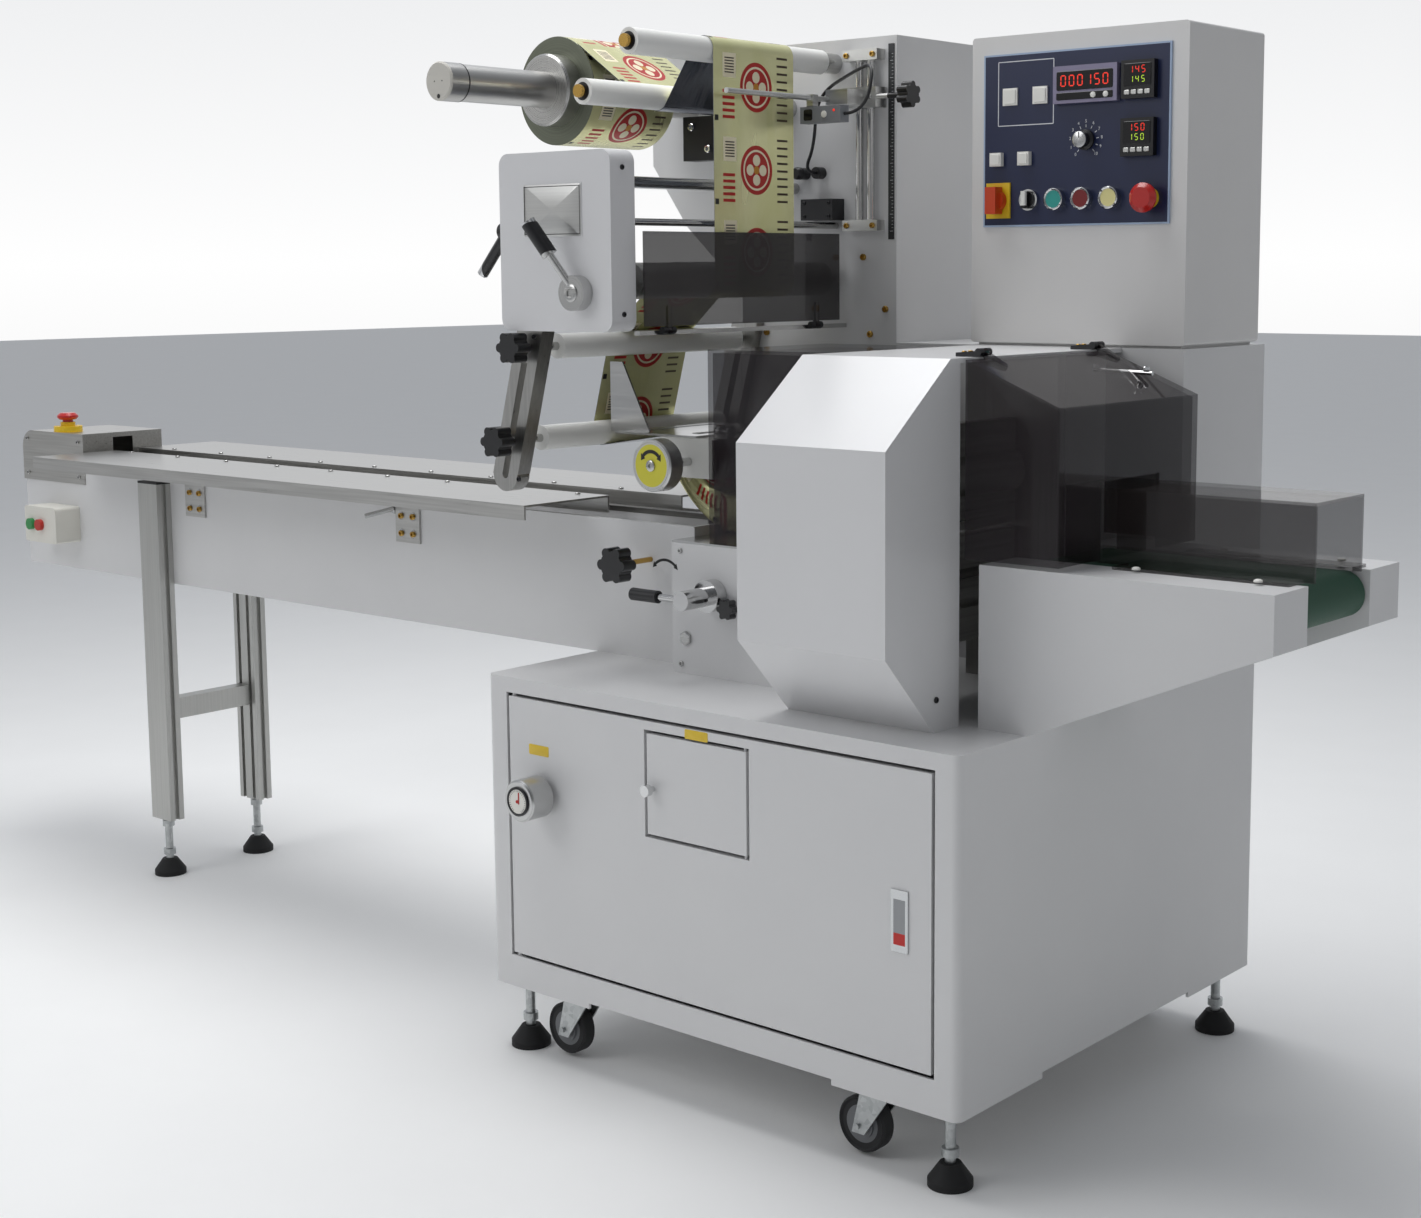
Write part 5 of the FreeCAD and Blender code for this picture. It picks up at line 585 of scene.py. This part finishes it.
build("hood_screw", [screw((-97, 86, 600), "x", 4, 2.6)], black_nylon, "machine")

# The rear column: a coated tower plate, and the control box in warm white with a navy front panel,
# whose counter, two temperature controllers, lamps, keys and switches are the usual panel fittings.
dress("tower", paint("powder_coat_tower", "E0E0E0", "D8D8D9", 0.4, ior=1.5))
dress("control_box", paint("powder_coat_box", "E2E1E0", "D9D8D7", 0.38, ior=1.5))
panel = paint("navy_panel_film", "A9BCD6", "A2B5D0", 0.34, 0.002, 0.08)
patch(panel, (-324.6, 520, 1195.4), (-27.4, 525, 1432.6), "1C2547", 0.0, 0.32)
near, off = 505, 520.9
patch(panel, (-206, near, 1360), (-103, off, 1412), "8C86A0", 0.0, 0.2)
patch(panel, (-97, near, 1361), (-45, off, 1413), "121215", 0.0, 0.3)
patch(panel, (-97, near, 1284), (-45, off, 1336), "121215", 0.0, 0.3)
patch(panel, (-294, near, 1362), (-218, off, 1388), "F0EFEA", 0.0, 0.35)
patch(panel, (-312, near, 1278), (-245, off, 1298), "ECEBE6", 0.0, 0.35)
patch(panel, (-321, near, 1204), (-279, off, 1256), "E6C325", 0.0, 0.4)
for x, tone in ((-203, "2E9C93"), (-159, "7A1C1E"), (-114.5, "E5DC9A")):
    disc(panel, (x, 0, 1230), "y", 15.5, "DADBDB", 1.0, 0.18, (x - 16, near, 1214), (x + 16, off, 1246))
    disc(panel, (x, 0, 1230), "y", 12.2, tone, 0.0, 0.3, (x - 16, near, 1214), (x + 16, off, 1246))
disc(panel, (-248, 0, 1230), "y", 16, "DADBDB", 1.0, 0.18, (-265, near, 1213), (-231, off, 1247))
disc(panel, (-54.6, 0, 1228), "y", 29, "E3BE1E", 0.0, 0.4, (-90, near, 1195), (-22, off, 1262))
dress("control_panel", panel)
orange_plastic = paint("orange_moulding", "D4471D", "C23C16", 0.34, 0.004, 0.06)
dress("power_switch", orange_plastic)
selector = paint("selector_moulding", "17171A", "1E1E21", 0.34, 0.004, 0.06)
patch(selector, (-252, 500, 1222), (-244, 507.5, 1246), "E8E8E4", 0.0, 0.35)
dress("film_selector", selector)
dress("speed_knob", paint("speed_knob_moulding", "17171A", "222226", 0.34, 0.0012, 0.4))
glow_red = paint("red_digit_light", "E03020", "D42818", 0.4, 0.01, 0.0, emission_strength=0.6)
glow_red.node_tree.nodes["Principled BSDF"].inputs["Emission Color"].default_value = linear("FF3A24")
glow_green = paint("green_digit_light", "B8D83A", "AED030", 0.4, 0.01, 0.0, emission_strength=0.5)
glow_green.node_tree.nodes["Principled BSDF"].inputs["Emission Color"].default_value = linear("C8F040")
window = paint("black_window", "0C0C0F", "101014", 0.12, 0.01, 0.0)
window_rows = [(0, 0), (0, 0.5), (0.4, 0.8)]
build("instrument_windows", [slab((-154.6, 512, 1391), "x", "z", 90, 26, 3, window_rows),
                             slab((-154.6, 512, 1370), "x", "z", 90, 10, 2, window_rows)]
      + [slab((-71, 511, z + 6), "x", "z", 42, 30, 2, window_rows) for z in (1387, 1310)], window,
      "machine")
SEGMENTS = {"0": "abcdef", "1": "bc", "2": "abged", "3": "abgcd", "4": "fgbc", "5": "afgcd",
            "6": "afgedc", "7": "abc", "8": "abcdefg", "9": "abcdfg"}
BARS = {"a": (0, 1, 1), "b": (0.5, 0.5, 0), "c": (0.5, -0.5, 0), "d": (0, -1, 1), "e": (-0.5, -0.5, 0),
        "f": (-0.5, 0.5, 0), "g": (0, 0, 1)}


def lit(number, centre, tall, pitch):
    """Seven-bar digits: each lit bar is a small slab, placed by its share of the digit's half size."""
    out = []
    for i, digit in enumerate(number):
        middle = centre[0] + (i - (len(number) - 1) / 2) * pitch
        for bar in SEGMENTS[digit]:
            u, v, flat = BARS[bar]
            wide, high = (tall * 0.42, tall * 0.11) if flat else (tall * 0.11, tall * 0.42)
            spot = (middle + u * tall * 0.52, centre[1], centre[2] + v * tall / 2)
            out.append(slab(spot, "x", "z", wide, high, tall * 0.05, [(0, 0), (0, 0.3)]))
    return out


build("counter_digits", lit("000150", (-154.6, 511.2, 1391), 14, 13.5)
      + lit("145", (-71, 510.2, 1400), 9, 9.5) + lit("150", (-71, 510.2, 1323), 9, 9.5),
      glow_red, "machine")
build("set_digits", lit("145", (-71, 510.2, 1387), 8, 9) + lit("150", (-71, 510.2, 1310), 8, 9),
      glow_green, "machine")
key_rows = [(0, 0), (0, 1), (0.6, 1.6)]
white_cap = paint("white_moulded_keys", "F2F1EC", "E9E8E2", 0.36, 0.004, 0.04)
build("white_keys", [slab((x, 521 - 3, 1375), "x", "z", 20, 20, 2, key_rows) for x in (-281, -231)]
      + [slab((x, 521 - 8, 1288), "x", "z", 15, 15, 2, key_rows) for x in (-302, -255)]
      + [turned((x, 511.2, 1370), "-y", [(0, 0), (4, 0), (4, 1.4), (3, 2), (0, 2)], 24)
         for x in (-140, -120)], white_cap, "machine")
build("controller_keys", [slab((x, 511, z), "x", "z", 8.5, 6, 1.5, key_rows)
                          for x in (-87, -76.5, -66, -55.5) for z in (1370, 1293)], rule_steel, "machine")
line_ink = paint("white_line_ink", "E8EAEE", "E0E2E8", 0.45, 0.002, 0.02)
frame_bars = [slab((-256, 521, z), "x", "z", 92, 1.2, 0.3, [(0, 0), (0, 0.25)]) for z in (1335, 1424)]
frame_bars += [slab((x, 521, 1379.5), "x", "z", 1.2, 89, 0.3, [(0, 0), (0, 0.25)]) for x in (-302, -210)]
build("panel_lines", frame_bars + ticks((-156.6, 520.7, 1310), "x", "z", 17, 21, -50, 230, 11, 0.9),
      line_ink, "machine")
angles = np.radians(np.linspace(230, -50, 11))
figures("speed_figures", [(str(i), 6.2, (-156.6 + 25.5 * math.cos(a), 520.6, 1310 + 25.5 * math.sin(a)),
                           "x", "z") for i, a in enumerate(angles)], line_ink, "machine")
spun = turned_metal("spun_aluminium_cap", "DADADA", "A5A6A7", (-156.6, 0, 1310), "y", 0.22)
build("speed_cap", [turned((-156.6, 503, 1310), "-y", [(0, -0.5), (11, -0.5), (11, 0.6), (10, 1), (0, 1)])],
      spun, "speed")
build("speed_mark", [slab((-156.6, 502, 1316), "x", "z", 1.4, 8, 0.4, [(0, 0), (0, 0.3)])], ink_black,
      "speed")
build("button_rims", [turned((x, 511, 1230), "-y", [(12.6, -1), (15.3, -1), (15.3, 0.8), (14, 1.6),
                                                   (12.6, 0.8), (12.6, -1)]) for x in (-203, -159, -114.5)],
      chrome, "machine")

# The film feed: a coated drive box with a bare metal plate, slotted steel arms, white rollers on
# steel axles, an aluminium draw roller against a rubber one, and a release lever with a black grip.
dress("drive_box", paint("powder_coat_drive", "E0E0E1", "D8D8DA", 0.34, ior=1.5))
dress("slotted_arms", brushed("milled_steel_arms", "C2C1BE", "9A9996", 0.3, "z"))
axles = brushed("ground_steel_axles", "D2D2D0", "ACACAB", 0.18, "y", 0.004, 0.05)
for x, z in ((-602, 1442), (-691, 1380), (-778, 1027), (-815, 893)):
    disc(axles, (x, 0, z), "y", 10, "C59F55", 1.0, 0.26, (x - 12, 60, z - 12), (x + 12, 76.2, z + 12))
dress("rods_and_axles", axles)
dress("roller_1 roller_2 roller_3 roller_4", paint("white_roller_nylon", "F2F2EF", "E9E9E5", 0.42, 0.002, 0.1))
dress("draw_roller", brushed("knurled_draw_roller", "C8C8C6", "8F8F8D", 0.34, "y", 0.002, 0.6))
dress("nip_roller", paint("nip_rubber", "2A2A2C", "343436", 0.6, 0.002, 0.2))
release = turned_metal("turned_lever_steel", "D9D9D8", "A2A2A1", (-646, 0, 1104), "y", 0.2)
t = release.node_tree
spot = next(n for n in t.nodes if n.type == "TEX_COORD").outputs["Object"]
run = from_axis(t, spot, (-646, 0, 1104), "y")
grip = add(t, "MapRange", {0: run, 1: 0.0604, 2: 0.0606}).outputs[0]
recoat(release, grip, "17171A", 0.0, 0.34)
cap = add(t, "MapRange", {0: run, 1: 0.1043, 2: 0.1045}).outputs[0]
recoat(release, cap, "D4D5D6", 1.0, 0.2)
dress("nip_lever", release)
build("lever_socket", [turned((-646, 2, 1104), "-y", [(0, -0.4), (12, -0.4), (12, 1), (10, 2), (6, 2, 6),
                                                     (6, 0.3, 6), (0, 0.3)])], bright_screw, "nip_release")
build("drive_plate", [slab((-697, 19, 1216.5), "x", "z", 112, 71, 3, [(0, 0), (0, 0.25), (0.4, 0.5)])],
      brushed("brushed_blank_plate", "D3D3D1", "B7B7B5", 0.36, "x", 0.003, 0.1), "machine")
build("drive_plate_border", [slab((-697, 19, z), "x", "z", 108, 1, 0.3, [(0, 0.3), (0, 0.7)])
                             for z in (1184, 1249)]
      + [slab((x, 19, 1216.5), "x", "z", 1, 66, 0.3, [(0, 0.3), (0, 0.7)]) for x in (-751, -643)],
      ink_black, "machine")
build("drive_screws", [screw((-586, 43, z), "x", 3.6, 2) for z in (1272, 1075)]
      + [screw((x, 494, z), "-y", 2.8, 1.8) for x in (-638, -591) for z in (1214, 1234)]
      + [screw((x, 43, z), "-y", 3.6, 2.4) for x, z in ((-795, 1042), (-762, 1042), (-800, 838))],
      black_nylon, "machine")
build("clamp_screws", [screw((-798, 418, 1352), "-y", 6, 5), screw((-764, 418, 1318), "-y", 6, 5)],
      chrome, "machine")
build("roller_washers", [turned((x, 76, z), "-y", [(0, -0.6), (12.5, -0.6), (12.5, 0.7), (0, 0.7)], 32)
                         for x, z in ((-602, 1442), (-691, 1380))], black_nylon, "machine")
dress("tower_fittings", black_nylon)
build("gland_ribs", [turned((x, 508, 1280), "-y", [(0, -0.5), (9.6, -0.5), (9.6, 2), (8.6, 3), (9.6, 4),
                                                  (9.6, 6), (8.6, 7), (9.4, 8), (7, 11), (0, 11)], 24)
                     for x in (-658,)], black_nylon, "machine")

# The film reel and its web: a turned aluminium spindle, a roll of printed metallised film and the
# 0.6 mm shell that stands for one thickness of it, which runs over the rollers into the former.
spindle = turned_metal("turned_aluminium_spindle", "D6D5D2", "9D9C9A", (-897, 0, 1401), "y", 0.28)
patch(spindle, (-930, -8, 1365), (-860, -1, 1435), "CBC8C0", 0.0, 0.5)
patch(spindle, (-930, 28.5, 1365), (-860, 32, 1435), "2A2A2A", 0.3, 0.5)
dress("reel_spindle", spindle)
build("cap_holes", [turned((x, -5, z), "-y", [(0, -0.2), (r, -0.2), (r, 0.3), (0, 0.3)], 20)
                    for x, z, r in ((-897, 1380, 3.2), (-905, 1401, 1), (-889, 1401, 1))], ink_black,
      "reel")
REPEAT, FILM_NEAR, FILM_FAR = 117.0, 226.0, 402.0


def box_mask(t, vector, centre, half):
    """1 where a flat vector in millimetres is nearer to the centre than half on both axes."""
    off = add(t, "VectorMath", {0: vector, 1: (*centre, 0)}, operation="SUBTRACT").outputs[0]
    off = add(t, "VectorMath", {0: off}, operation="ABSOLUTE").outputs[0]
    off = add(t, "VectorMath", {0: off, 1: (*half, 1)}, operation="SUBTRACT").outputs[0]
    over = add(t, "SeparateXYZ", {0: off}).outputs
    most = add(t, "Math", {0: over[0], 1: over[1]}, operation="MAXIMUM").outputs[0]
    return add(t, "Math", {0: most, 1: 0.0}, operation="LESS_THAN").outputs[0]


def near_mask(t, vector, centre, radius):
    """1 where a flat vector in millimetres is within the radius of the centre."""
    far = add(t, "VectorMath", {0: vector, 1: (*centre, 0)}, operation="DISTANCE").outputs["Value"]
    return add(t, "Math", {0: far, 1: radius}, operation="LESS_THAN").outputs[0]


def film_print(name, plain, plain_metal, rough):
    """A generic print of plain shapes, repeated every 117 mm: u is the distance across the web and v
    along it, both in millimetres. Inks lie on metallised film, so bare film stays a mirror. The bare
    film's colour runs between the two plain tones with a crease noise: that is painted shade and
    painted highlight on the creases, beside their real bump."""
    m, t, s, where = start(name)
    uv = add(t, "TexCoord").outputs["UV"]
    parts = add(t, "SeparateXYZ", {0: uv}).outputs
    along = add(t, "Math", {0: parts[1], 1: REPEAT, 2: 0.0}, operation="WRAP").outputs[0]
    cell = add(t, "CombineXYZ", {0: parts[0], 1: along}).outputs[0]
    ripple = add(t, "Mapping", {0: uv, 3: (0.02, 0.006, 1.0)}).outputs[0]
    creases = add(t, "TexNoise", {"Vector": ripple, "Scale": 1.0, "Detail": 3.0, "Distortion": 0.6}).outputs[0]
    # Painted shade and highlight: the crease noise darkens and lightens the bare film's colour, and it also
    # drives roughness and bump.
    tint = add(t, "Mix", {0: creases, 6: linear(plain[0]), 7: linear(plain[1])}, data_type="RGBA").outputs[2]
    t.links.new(tint, s.inputs["Base Color"])
    s.inputs["Metallic"].default_value = plain_metal
    gloss = add(t, "MapRange", {0: creases, 3: rough - 0.06, 4: rough + 0.08}).outputs[0]
    t.links.new(gloss, s.inputs["Roughness"])
    relief = add(t, "Bump", {"Height": creases, "Strength": 0.35, "Distance": 0.004})
    t.links.new(relief.outputs[0], s.inputs["Normal"])
    red, cream, dark = "B8241E", "F3EACB", "3A2A1C"
    recoat(m, near_mask(t, cell, (92, 58), 35), red, 0.25, 0.35)
    recoat(m, near_mask(t, cell, (92, 58), 29), cream, 0.2, 0.35)
    recoat(m, near_mask(t, cell, (92, 58), 26), red, 0.25, 0.35)
    for x, y in ((92, 72), (92, 44), (78, 58), (106, 58)):
        recoat(m, near_mask(t, cell, (x, y), 8), cream, 0.2, 0.35)
    recoat(m, near_mask(t, cell, (92, 58), 6), "C98A2B", 0.3, 0.35)
    recoat(m, box_mask(t, cell, (34, 30), (14, 17)), cream, 0.1, 0.45)
    for k in range(6):
        recoat(m, box_mask(t, cell, (34, 20 + 4 * k), (10, 0.9)), dark, 0.1, 0.45)
    for k in range(5):
        recoat(m, box_mask(t, cell, (32, 66 + 9 * k), (13, 2.2)), red, 0.25, 0.35)
    for k in range(9):
        recoat(m, box_mask(t, cell, (150, 14 + 11 * k), (12, 1.6)), dark, 0.1, 0.45)
    recoat(m, box_mask(t, cell, (6, 104), (4, 4)), "101010", 0.0, 0.45)
    return m, t, parts


# The two plain tones are a shaded and a lit film colour, for the painted crease shade and highlight.
face_film, t, parts = film_print("printed_film", ("D9D998", "F3F1C4"), 0.6, 0.24)
back_side = add(t, "Math", {0: parts[0], 1: 177.0}, operation="GREATER_THAN").outputs[0]
recoat(face_film, back_side, "8E929B", 1.0, 0.2)


def web_line(circles, end, half, stand):
    """The middle line of a web that runs round circles of signed radius, positive where it turns
    anticlockwise: straight tangents between them, and arcs at radius + stand round them. Returns its
    points (x, z) and their unit normals, in millimetres."""
    signed = [(x, z, math.copysign(abs(r) + stand, r)) for x, z, r in circles] + [(*end, 0.0)]
    headings = []
    for (x1, z1, r1), (x2, z2, r2) in zip(signed, signed[1:]):
        headings.append(math.atan2(z2 - z1, x2 - x1) - math.asin((r2 - r1) / math.hypot(x2 - x1, z2 - z1)))
    angle = [np.array([headings[0]])]
    centre = [np.array([signed[0]])]
    for i, heading in enumerate(headings[1:], 1):
        change = (heading - headings[i - 1] + math.pi) % (2 * math.pi) - math.pi
        if signed[i][2] > 0 and change < 0:
            change += 2 * math.pi
        if signed[i][2] < 0 and change > 0:
            change -= 2 * math.pi
        angle.append(np.linspace(headings[i - 1], headings[i - 1] + change, 15))
        centre.append(np.repeat([signed[i]], 15, 0))
    angle.append(np.array([headings[-1]]))
    centre.append(np.array([signed[-1]]))
    a, c = np.concatenate(angle), np.concatenate(centre)
    normal = np.stack([np.sin(a), -np.cos(a)], 1)
    return c[:, :2] + normal * c[:, 2:], normal


web_path = [(-897, 1401, -80), (-691, 1380, 18), (-602, 1442, -18), (-609, 1120, -25), (-660.8, 1120, 25),
            (-778, 1027, 18), (-815, 893, 18)]
line, normal = web_line(web_path, (-690, 893), 0.3, 0.8)
run = np.concatenate([[0], np.cumsum(np.hypot(*np.diff(line, axis=0).T))])
rings, chart = [], []
for edge, lift, u in ((FILM_NEAR, -0.3, 0), (FILM_FAR, -0.3, 176), (FILM_FAR, 0.3, 178), (FILM_NEAR, 0.3, 354)):
    spot = line + normal * lift
    rings.append(np.stack([spot[:, 0], np.full(len(spot), edge), spot[:, 1]], 1))
    chart.append(np.stack([np.full(len(run), float(u)), run], 1))
chart.append(np.stack([np.full(len(run), 356.0), run], 1))
web = np.stack(rings, 1) / 1000 + np.array([RIGHT_SIDE, FRONT_FACE, 0])
ends = [(web[i][[0, 1, 3, 2]].reshape(2, 2, 3), False, np.full((2, 2, 2), 177.5)) for i in (0, -1)]
film_web = build("film_web", [(web, True, np.stack(chart, 1)), *ends], face_film, "machine")


def throat(rows, cols):
    """The web folding into a tube: row t runs down a quadratic curve from the flat web's end to the
    tube, and column s (distance from the middle) bends from a level line to a top and two sides. Two
    sine ripples that grow with t give it its creases."""
    t = np.linspace(0, 1, rows)[:, None]
    s = np.linspace(-88, 88, cols)[None, :]
    x = (1 - t) ** 2 * -690 + 2 * t * (1 - t) * -674 + t ** 2 * -622
    z = (1 - t) ** 2 * 893 + 2 * t * (1 - t) * 813 + t ** 2 * 811
    side_run = np.maximum(np.abs(s) - 34.5, 0)
    y = 314 + s * (1 - t) + np.clip(s, -34.5, 34.5) * t
    z = z - side_run * t * 0.98
    wave = np.sin(s * 0.22 + 5 * t) * 1.4 * t + np.sin(s * 0.61 - 9 * t) * 0.6 * t
    points = np.stack([x + 0 * s + wave, y, z + wave * 0.6], -1)
    uv = np.stack([s + 88 + 0 * t, run[-1] + 118 * t + 0 * s], -1)
    return points / 1000 + np.array([RIGHT_SIDE, FRONT_FACE, 0]), False, uv


film_throat = build("film_throat", [throat(26, 61)], face_film, "machine")
wall = film_throat.modifiers.new("wall", "SOLIDIFY")
wall.thickness, wall.offset = 0.0005, 0


def film_tube(rows, cols):
    """The tube round the products: a rounded rectangle carried along x, outside and back inside, with
    faint ripples across it, and rows that meet again so that the wall is closed."""
    q = np.linspace(0, 2 * math.pi, cols, endpoint=False)
    power = 0.3
    cy, cz = (np.sign(f(q)) * np.abs(f(q)) ** power for f in (np.cos, np.sin))
    x = np.linspace(-622, -346, rows)
    x = np.concatenate([x, x[::-1], x[:1]])[:, None]
    shrink = np.concatenate([np.zeros(rows), np.full(rows, 0.5), [0]])[:, None]
    ripple = 0.5 * np.sin(x / 5.0 + 2 * np.sin(3 * q)[None, :]) - 0.6
    y = 314 + (34.4 - shrink + ripple) * cy[None, :] - 4
    z = 781.4 + (30.2 - shrink + ripple) * cz[None, :]
    points = np.stack([x + 0 * y, y, z], -1)
    uv = np.stack([(q / (2 * math.pi) * 176 + 0 * x), x + 0 * y], -1)
    uv = np.concatenate([uv, uv[:, :1] + np.array([176.0, 0])], 1)
    return points / 1000 + np.array([RIGHT_SIDE, FRONT_FACE, 0]), True, uv


tube = build("film_tube", [film_tube(60, 72)], face_film, "machine")
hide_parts("film")
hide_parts("film")
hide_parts("film")

# The two plain tones are a shaded and a lit film colour, for the painted crease shade and highlight on the roll.
roll_film, t, parts = film_print("wound_film", ("DCDA98", "F3F0C2"), 0.6, 0.26)
edge_noise = add(t, "TexNoise", {"W": parts[0], "Scale": 0.9, "Detail": 4.0}, noise_dimensions="1D").outputs[0]
edge_tint = add(t, "Mix", {0: edge_noise, 6: linear("4B4F45"), 7: linear("8B8F7E")}, data_type="RGBA").outputs[2]
before = add(t, "Math", {0: parts[0], 1: 0.0}, operation="LESS_THAN").outputs[0]
after = add(t, "Math", {0: parts[0], 1: 176.0}, operation="GREATER_THAN").outputs[0]
either = add(t, "Math", {0: before, 1: after}, operation="MAXIMUM").outputs[0]
recoat(roll_film, either, "6A6E60", 0.75, 0.38)
shader = t.nodes["Principled BSDF"]
mixed = add(t, "Mix", {0: either, 6: shader.inputs["Base Color"].links[0].from_socket, 7: edge_tint},
            data_type="RGBA").outputs[2]
t.links.new(mixed, shader.inputs["Base Color"])
radii = [(38, 226, -42), (50, 226, -30), (64, 226, -16), (79.4, 226, -0.6), (80, 226.6, 0), (80, 401.4, 176),
         (79.4, 402, 176.6), (60, 402, 196), (38, 402, 218), (38, 226, 394)]
roll_points, _ = turned((-897, 0, 1401), "y", [(r, y) for r, y, u in radii], 96)
roll_v = np.linspace(0, 2 * math.pi * 80, 97)
roll_uv = np.stack(np.broadcast_arrays(np.array([u for r, y, u in radii], float)[:, None], roll_v[None, :]), -1)
wound = build("wound_roll", [(roll_points, True, roll_uv)], roll_film, "reel")
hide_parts("film_roll")

# The film sensor: a photo-eye on a sliding aluminium block between two chromed rails, with a steel
# rule beside them and a thin black lead that loops to a cable gland in the tower plate.
rails = brushed("chromed_rails", "DFDFDF", "C2C2C2", 0.12, "z", 0.01, 0.03)
patch(rails, (-500, 515, 1170), (-488, 526, 1470), "4A4B4D", 0.9, 0.4)
patch(rails, (-573, 503, 1440), (-506, 525, 1459), "D5D5D2", 0.9, 0.34)
patch(rails, (-573, 503, 1190), (-506, 525, 1208), "D5D5D2", 0.9, 0.34)
dress("sensor_rails", rails)
build("rail_rule_marks", scale_marks((-489.5, 521.8, 1190), "z", "-x", 262, 5, 6), line_ink, "machine")
carriage = brushed("milled_aluminium_slide", "D9D9D7", "C4C4C2", 0.3, "x", 0.003, 0.1)
patch(carriage, (-482, 480, 1360), (-430, 525, 1412), "151517", 0.0, 0.3)
patch(carriage, (-576, 406, 1345), (-499, 429, 1371.6), "7E8186", 0.0, 0.42)
dress("sensor_carriage", carriage)
build("eye_windows", [slab((-560, 408, 1358), "x", "z", 16, 16, 3, window_rows),
                      slab((-575, 418, 1358), "-y", "z", 12, 14, 3, window_rows)], window, "machine")
build("eye_dial", [turned((-530, 408, 1358), "-y", [(0, -0.2), (5, -0.2), (5, 1), (4, 1.4), (0, 1.4)], 28)],
      dial_white, "machine")
build("eye_light", [turned((-512, 408, 1363), "-y", [(0, -0.2), (2, -0.2), (1.6, 0.9), (0, 1.3)], 20)],
      glow_red, "machine")
build("slide_screws", [screw((x, 496, 1387), "-y", 3.6, 2.6) for x in (-556, -514)], bright_screw,
      "machine")
lead_sheath = paint("black_lead_sheath", "19191B", "232326", 0.45, 0.002, 0.15)
LEAD = [(-500, 418, 1358), (-462, 418, 1358), (-462, 440, 1430), (-512, 462, 1424), (-594, 470, 1392),
        (-600, 472, 1318), (-627, 480, 1280), (-627, 508, 1280)]
cord_curve = bpy.data.curves.new("sensor_cord", "CURVE")
cord_curve.dimensions, cord_curve.bevel_depth, cord_curve.bevel_resolution = "3D", 0.0025, 4
cord_curve.use_fill_caps, cord_curve.resolution_u = True, 16
route = cord_curve.splines.new("NURBS")
route.points.add(len(LEAD) - 1)
route.points.foreach_set("co", np.array([[*at(*p), 1.0] for p in LEAD]).ravel())
route.order_u = 3
route.use_endpoint_u = True
cord_curve.materials.append(lead_sheath)
sensor_cord = bpy.data.objects.new("sensor_cord", cord_curve)
bpy.context.collection.objects.link(sensor_cord)
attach(sensor_cord, "machine")
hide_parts("sensor_lead")

# The discharge conveyor: coated side boxes, a dark green woven belt with a PVC face round two steel
# axles, and a smoked tunnel screwed to the side boxes.
dress("discharge_frames", paint("powder_coat_discharge", *WHITE, 0.36, ior=1.5))
belt, t, s, where = start("green_belt_cloth", roughness=0.6)
weave = add(t, "TexWave", {"Vector": where, "Scale": 260.0, "Distortion": 1.5, "Detail": 1.0},
            bands_direction="Y").outputs[1]
tint = add(t, "Mix", {0: weave, 6: linear("17402F"), 7: linear("23573F")}, data_type="RGBA").outputs[2]
t.links.new(tint, s.inputs["Base Color"])
relief = add(t, "Bump", {"Height": weave, "Strength": 0.3, "Distance": 0.0003})
t.links.new(relief.outputs[0], s.inputs["Normal"])
dress("discharge_belt", belt)
dress("belt_rollers", brushed("ground_belt_axles", "CFCFCD", "A5A5A3", 0.2, "y"))
build("tunnel_screws", [turned((x, y, 771), "z", [(0, -0.2), (5.5, -0.2), (5.2, 2), (3, 3.2), (0, 3.6)], 24)
                        for x in (120, 282) for y in (198, 422)], white_cap, "machine")
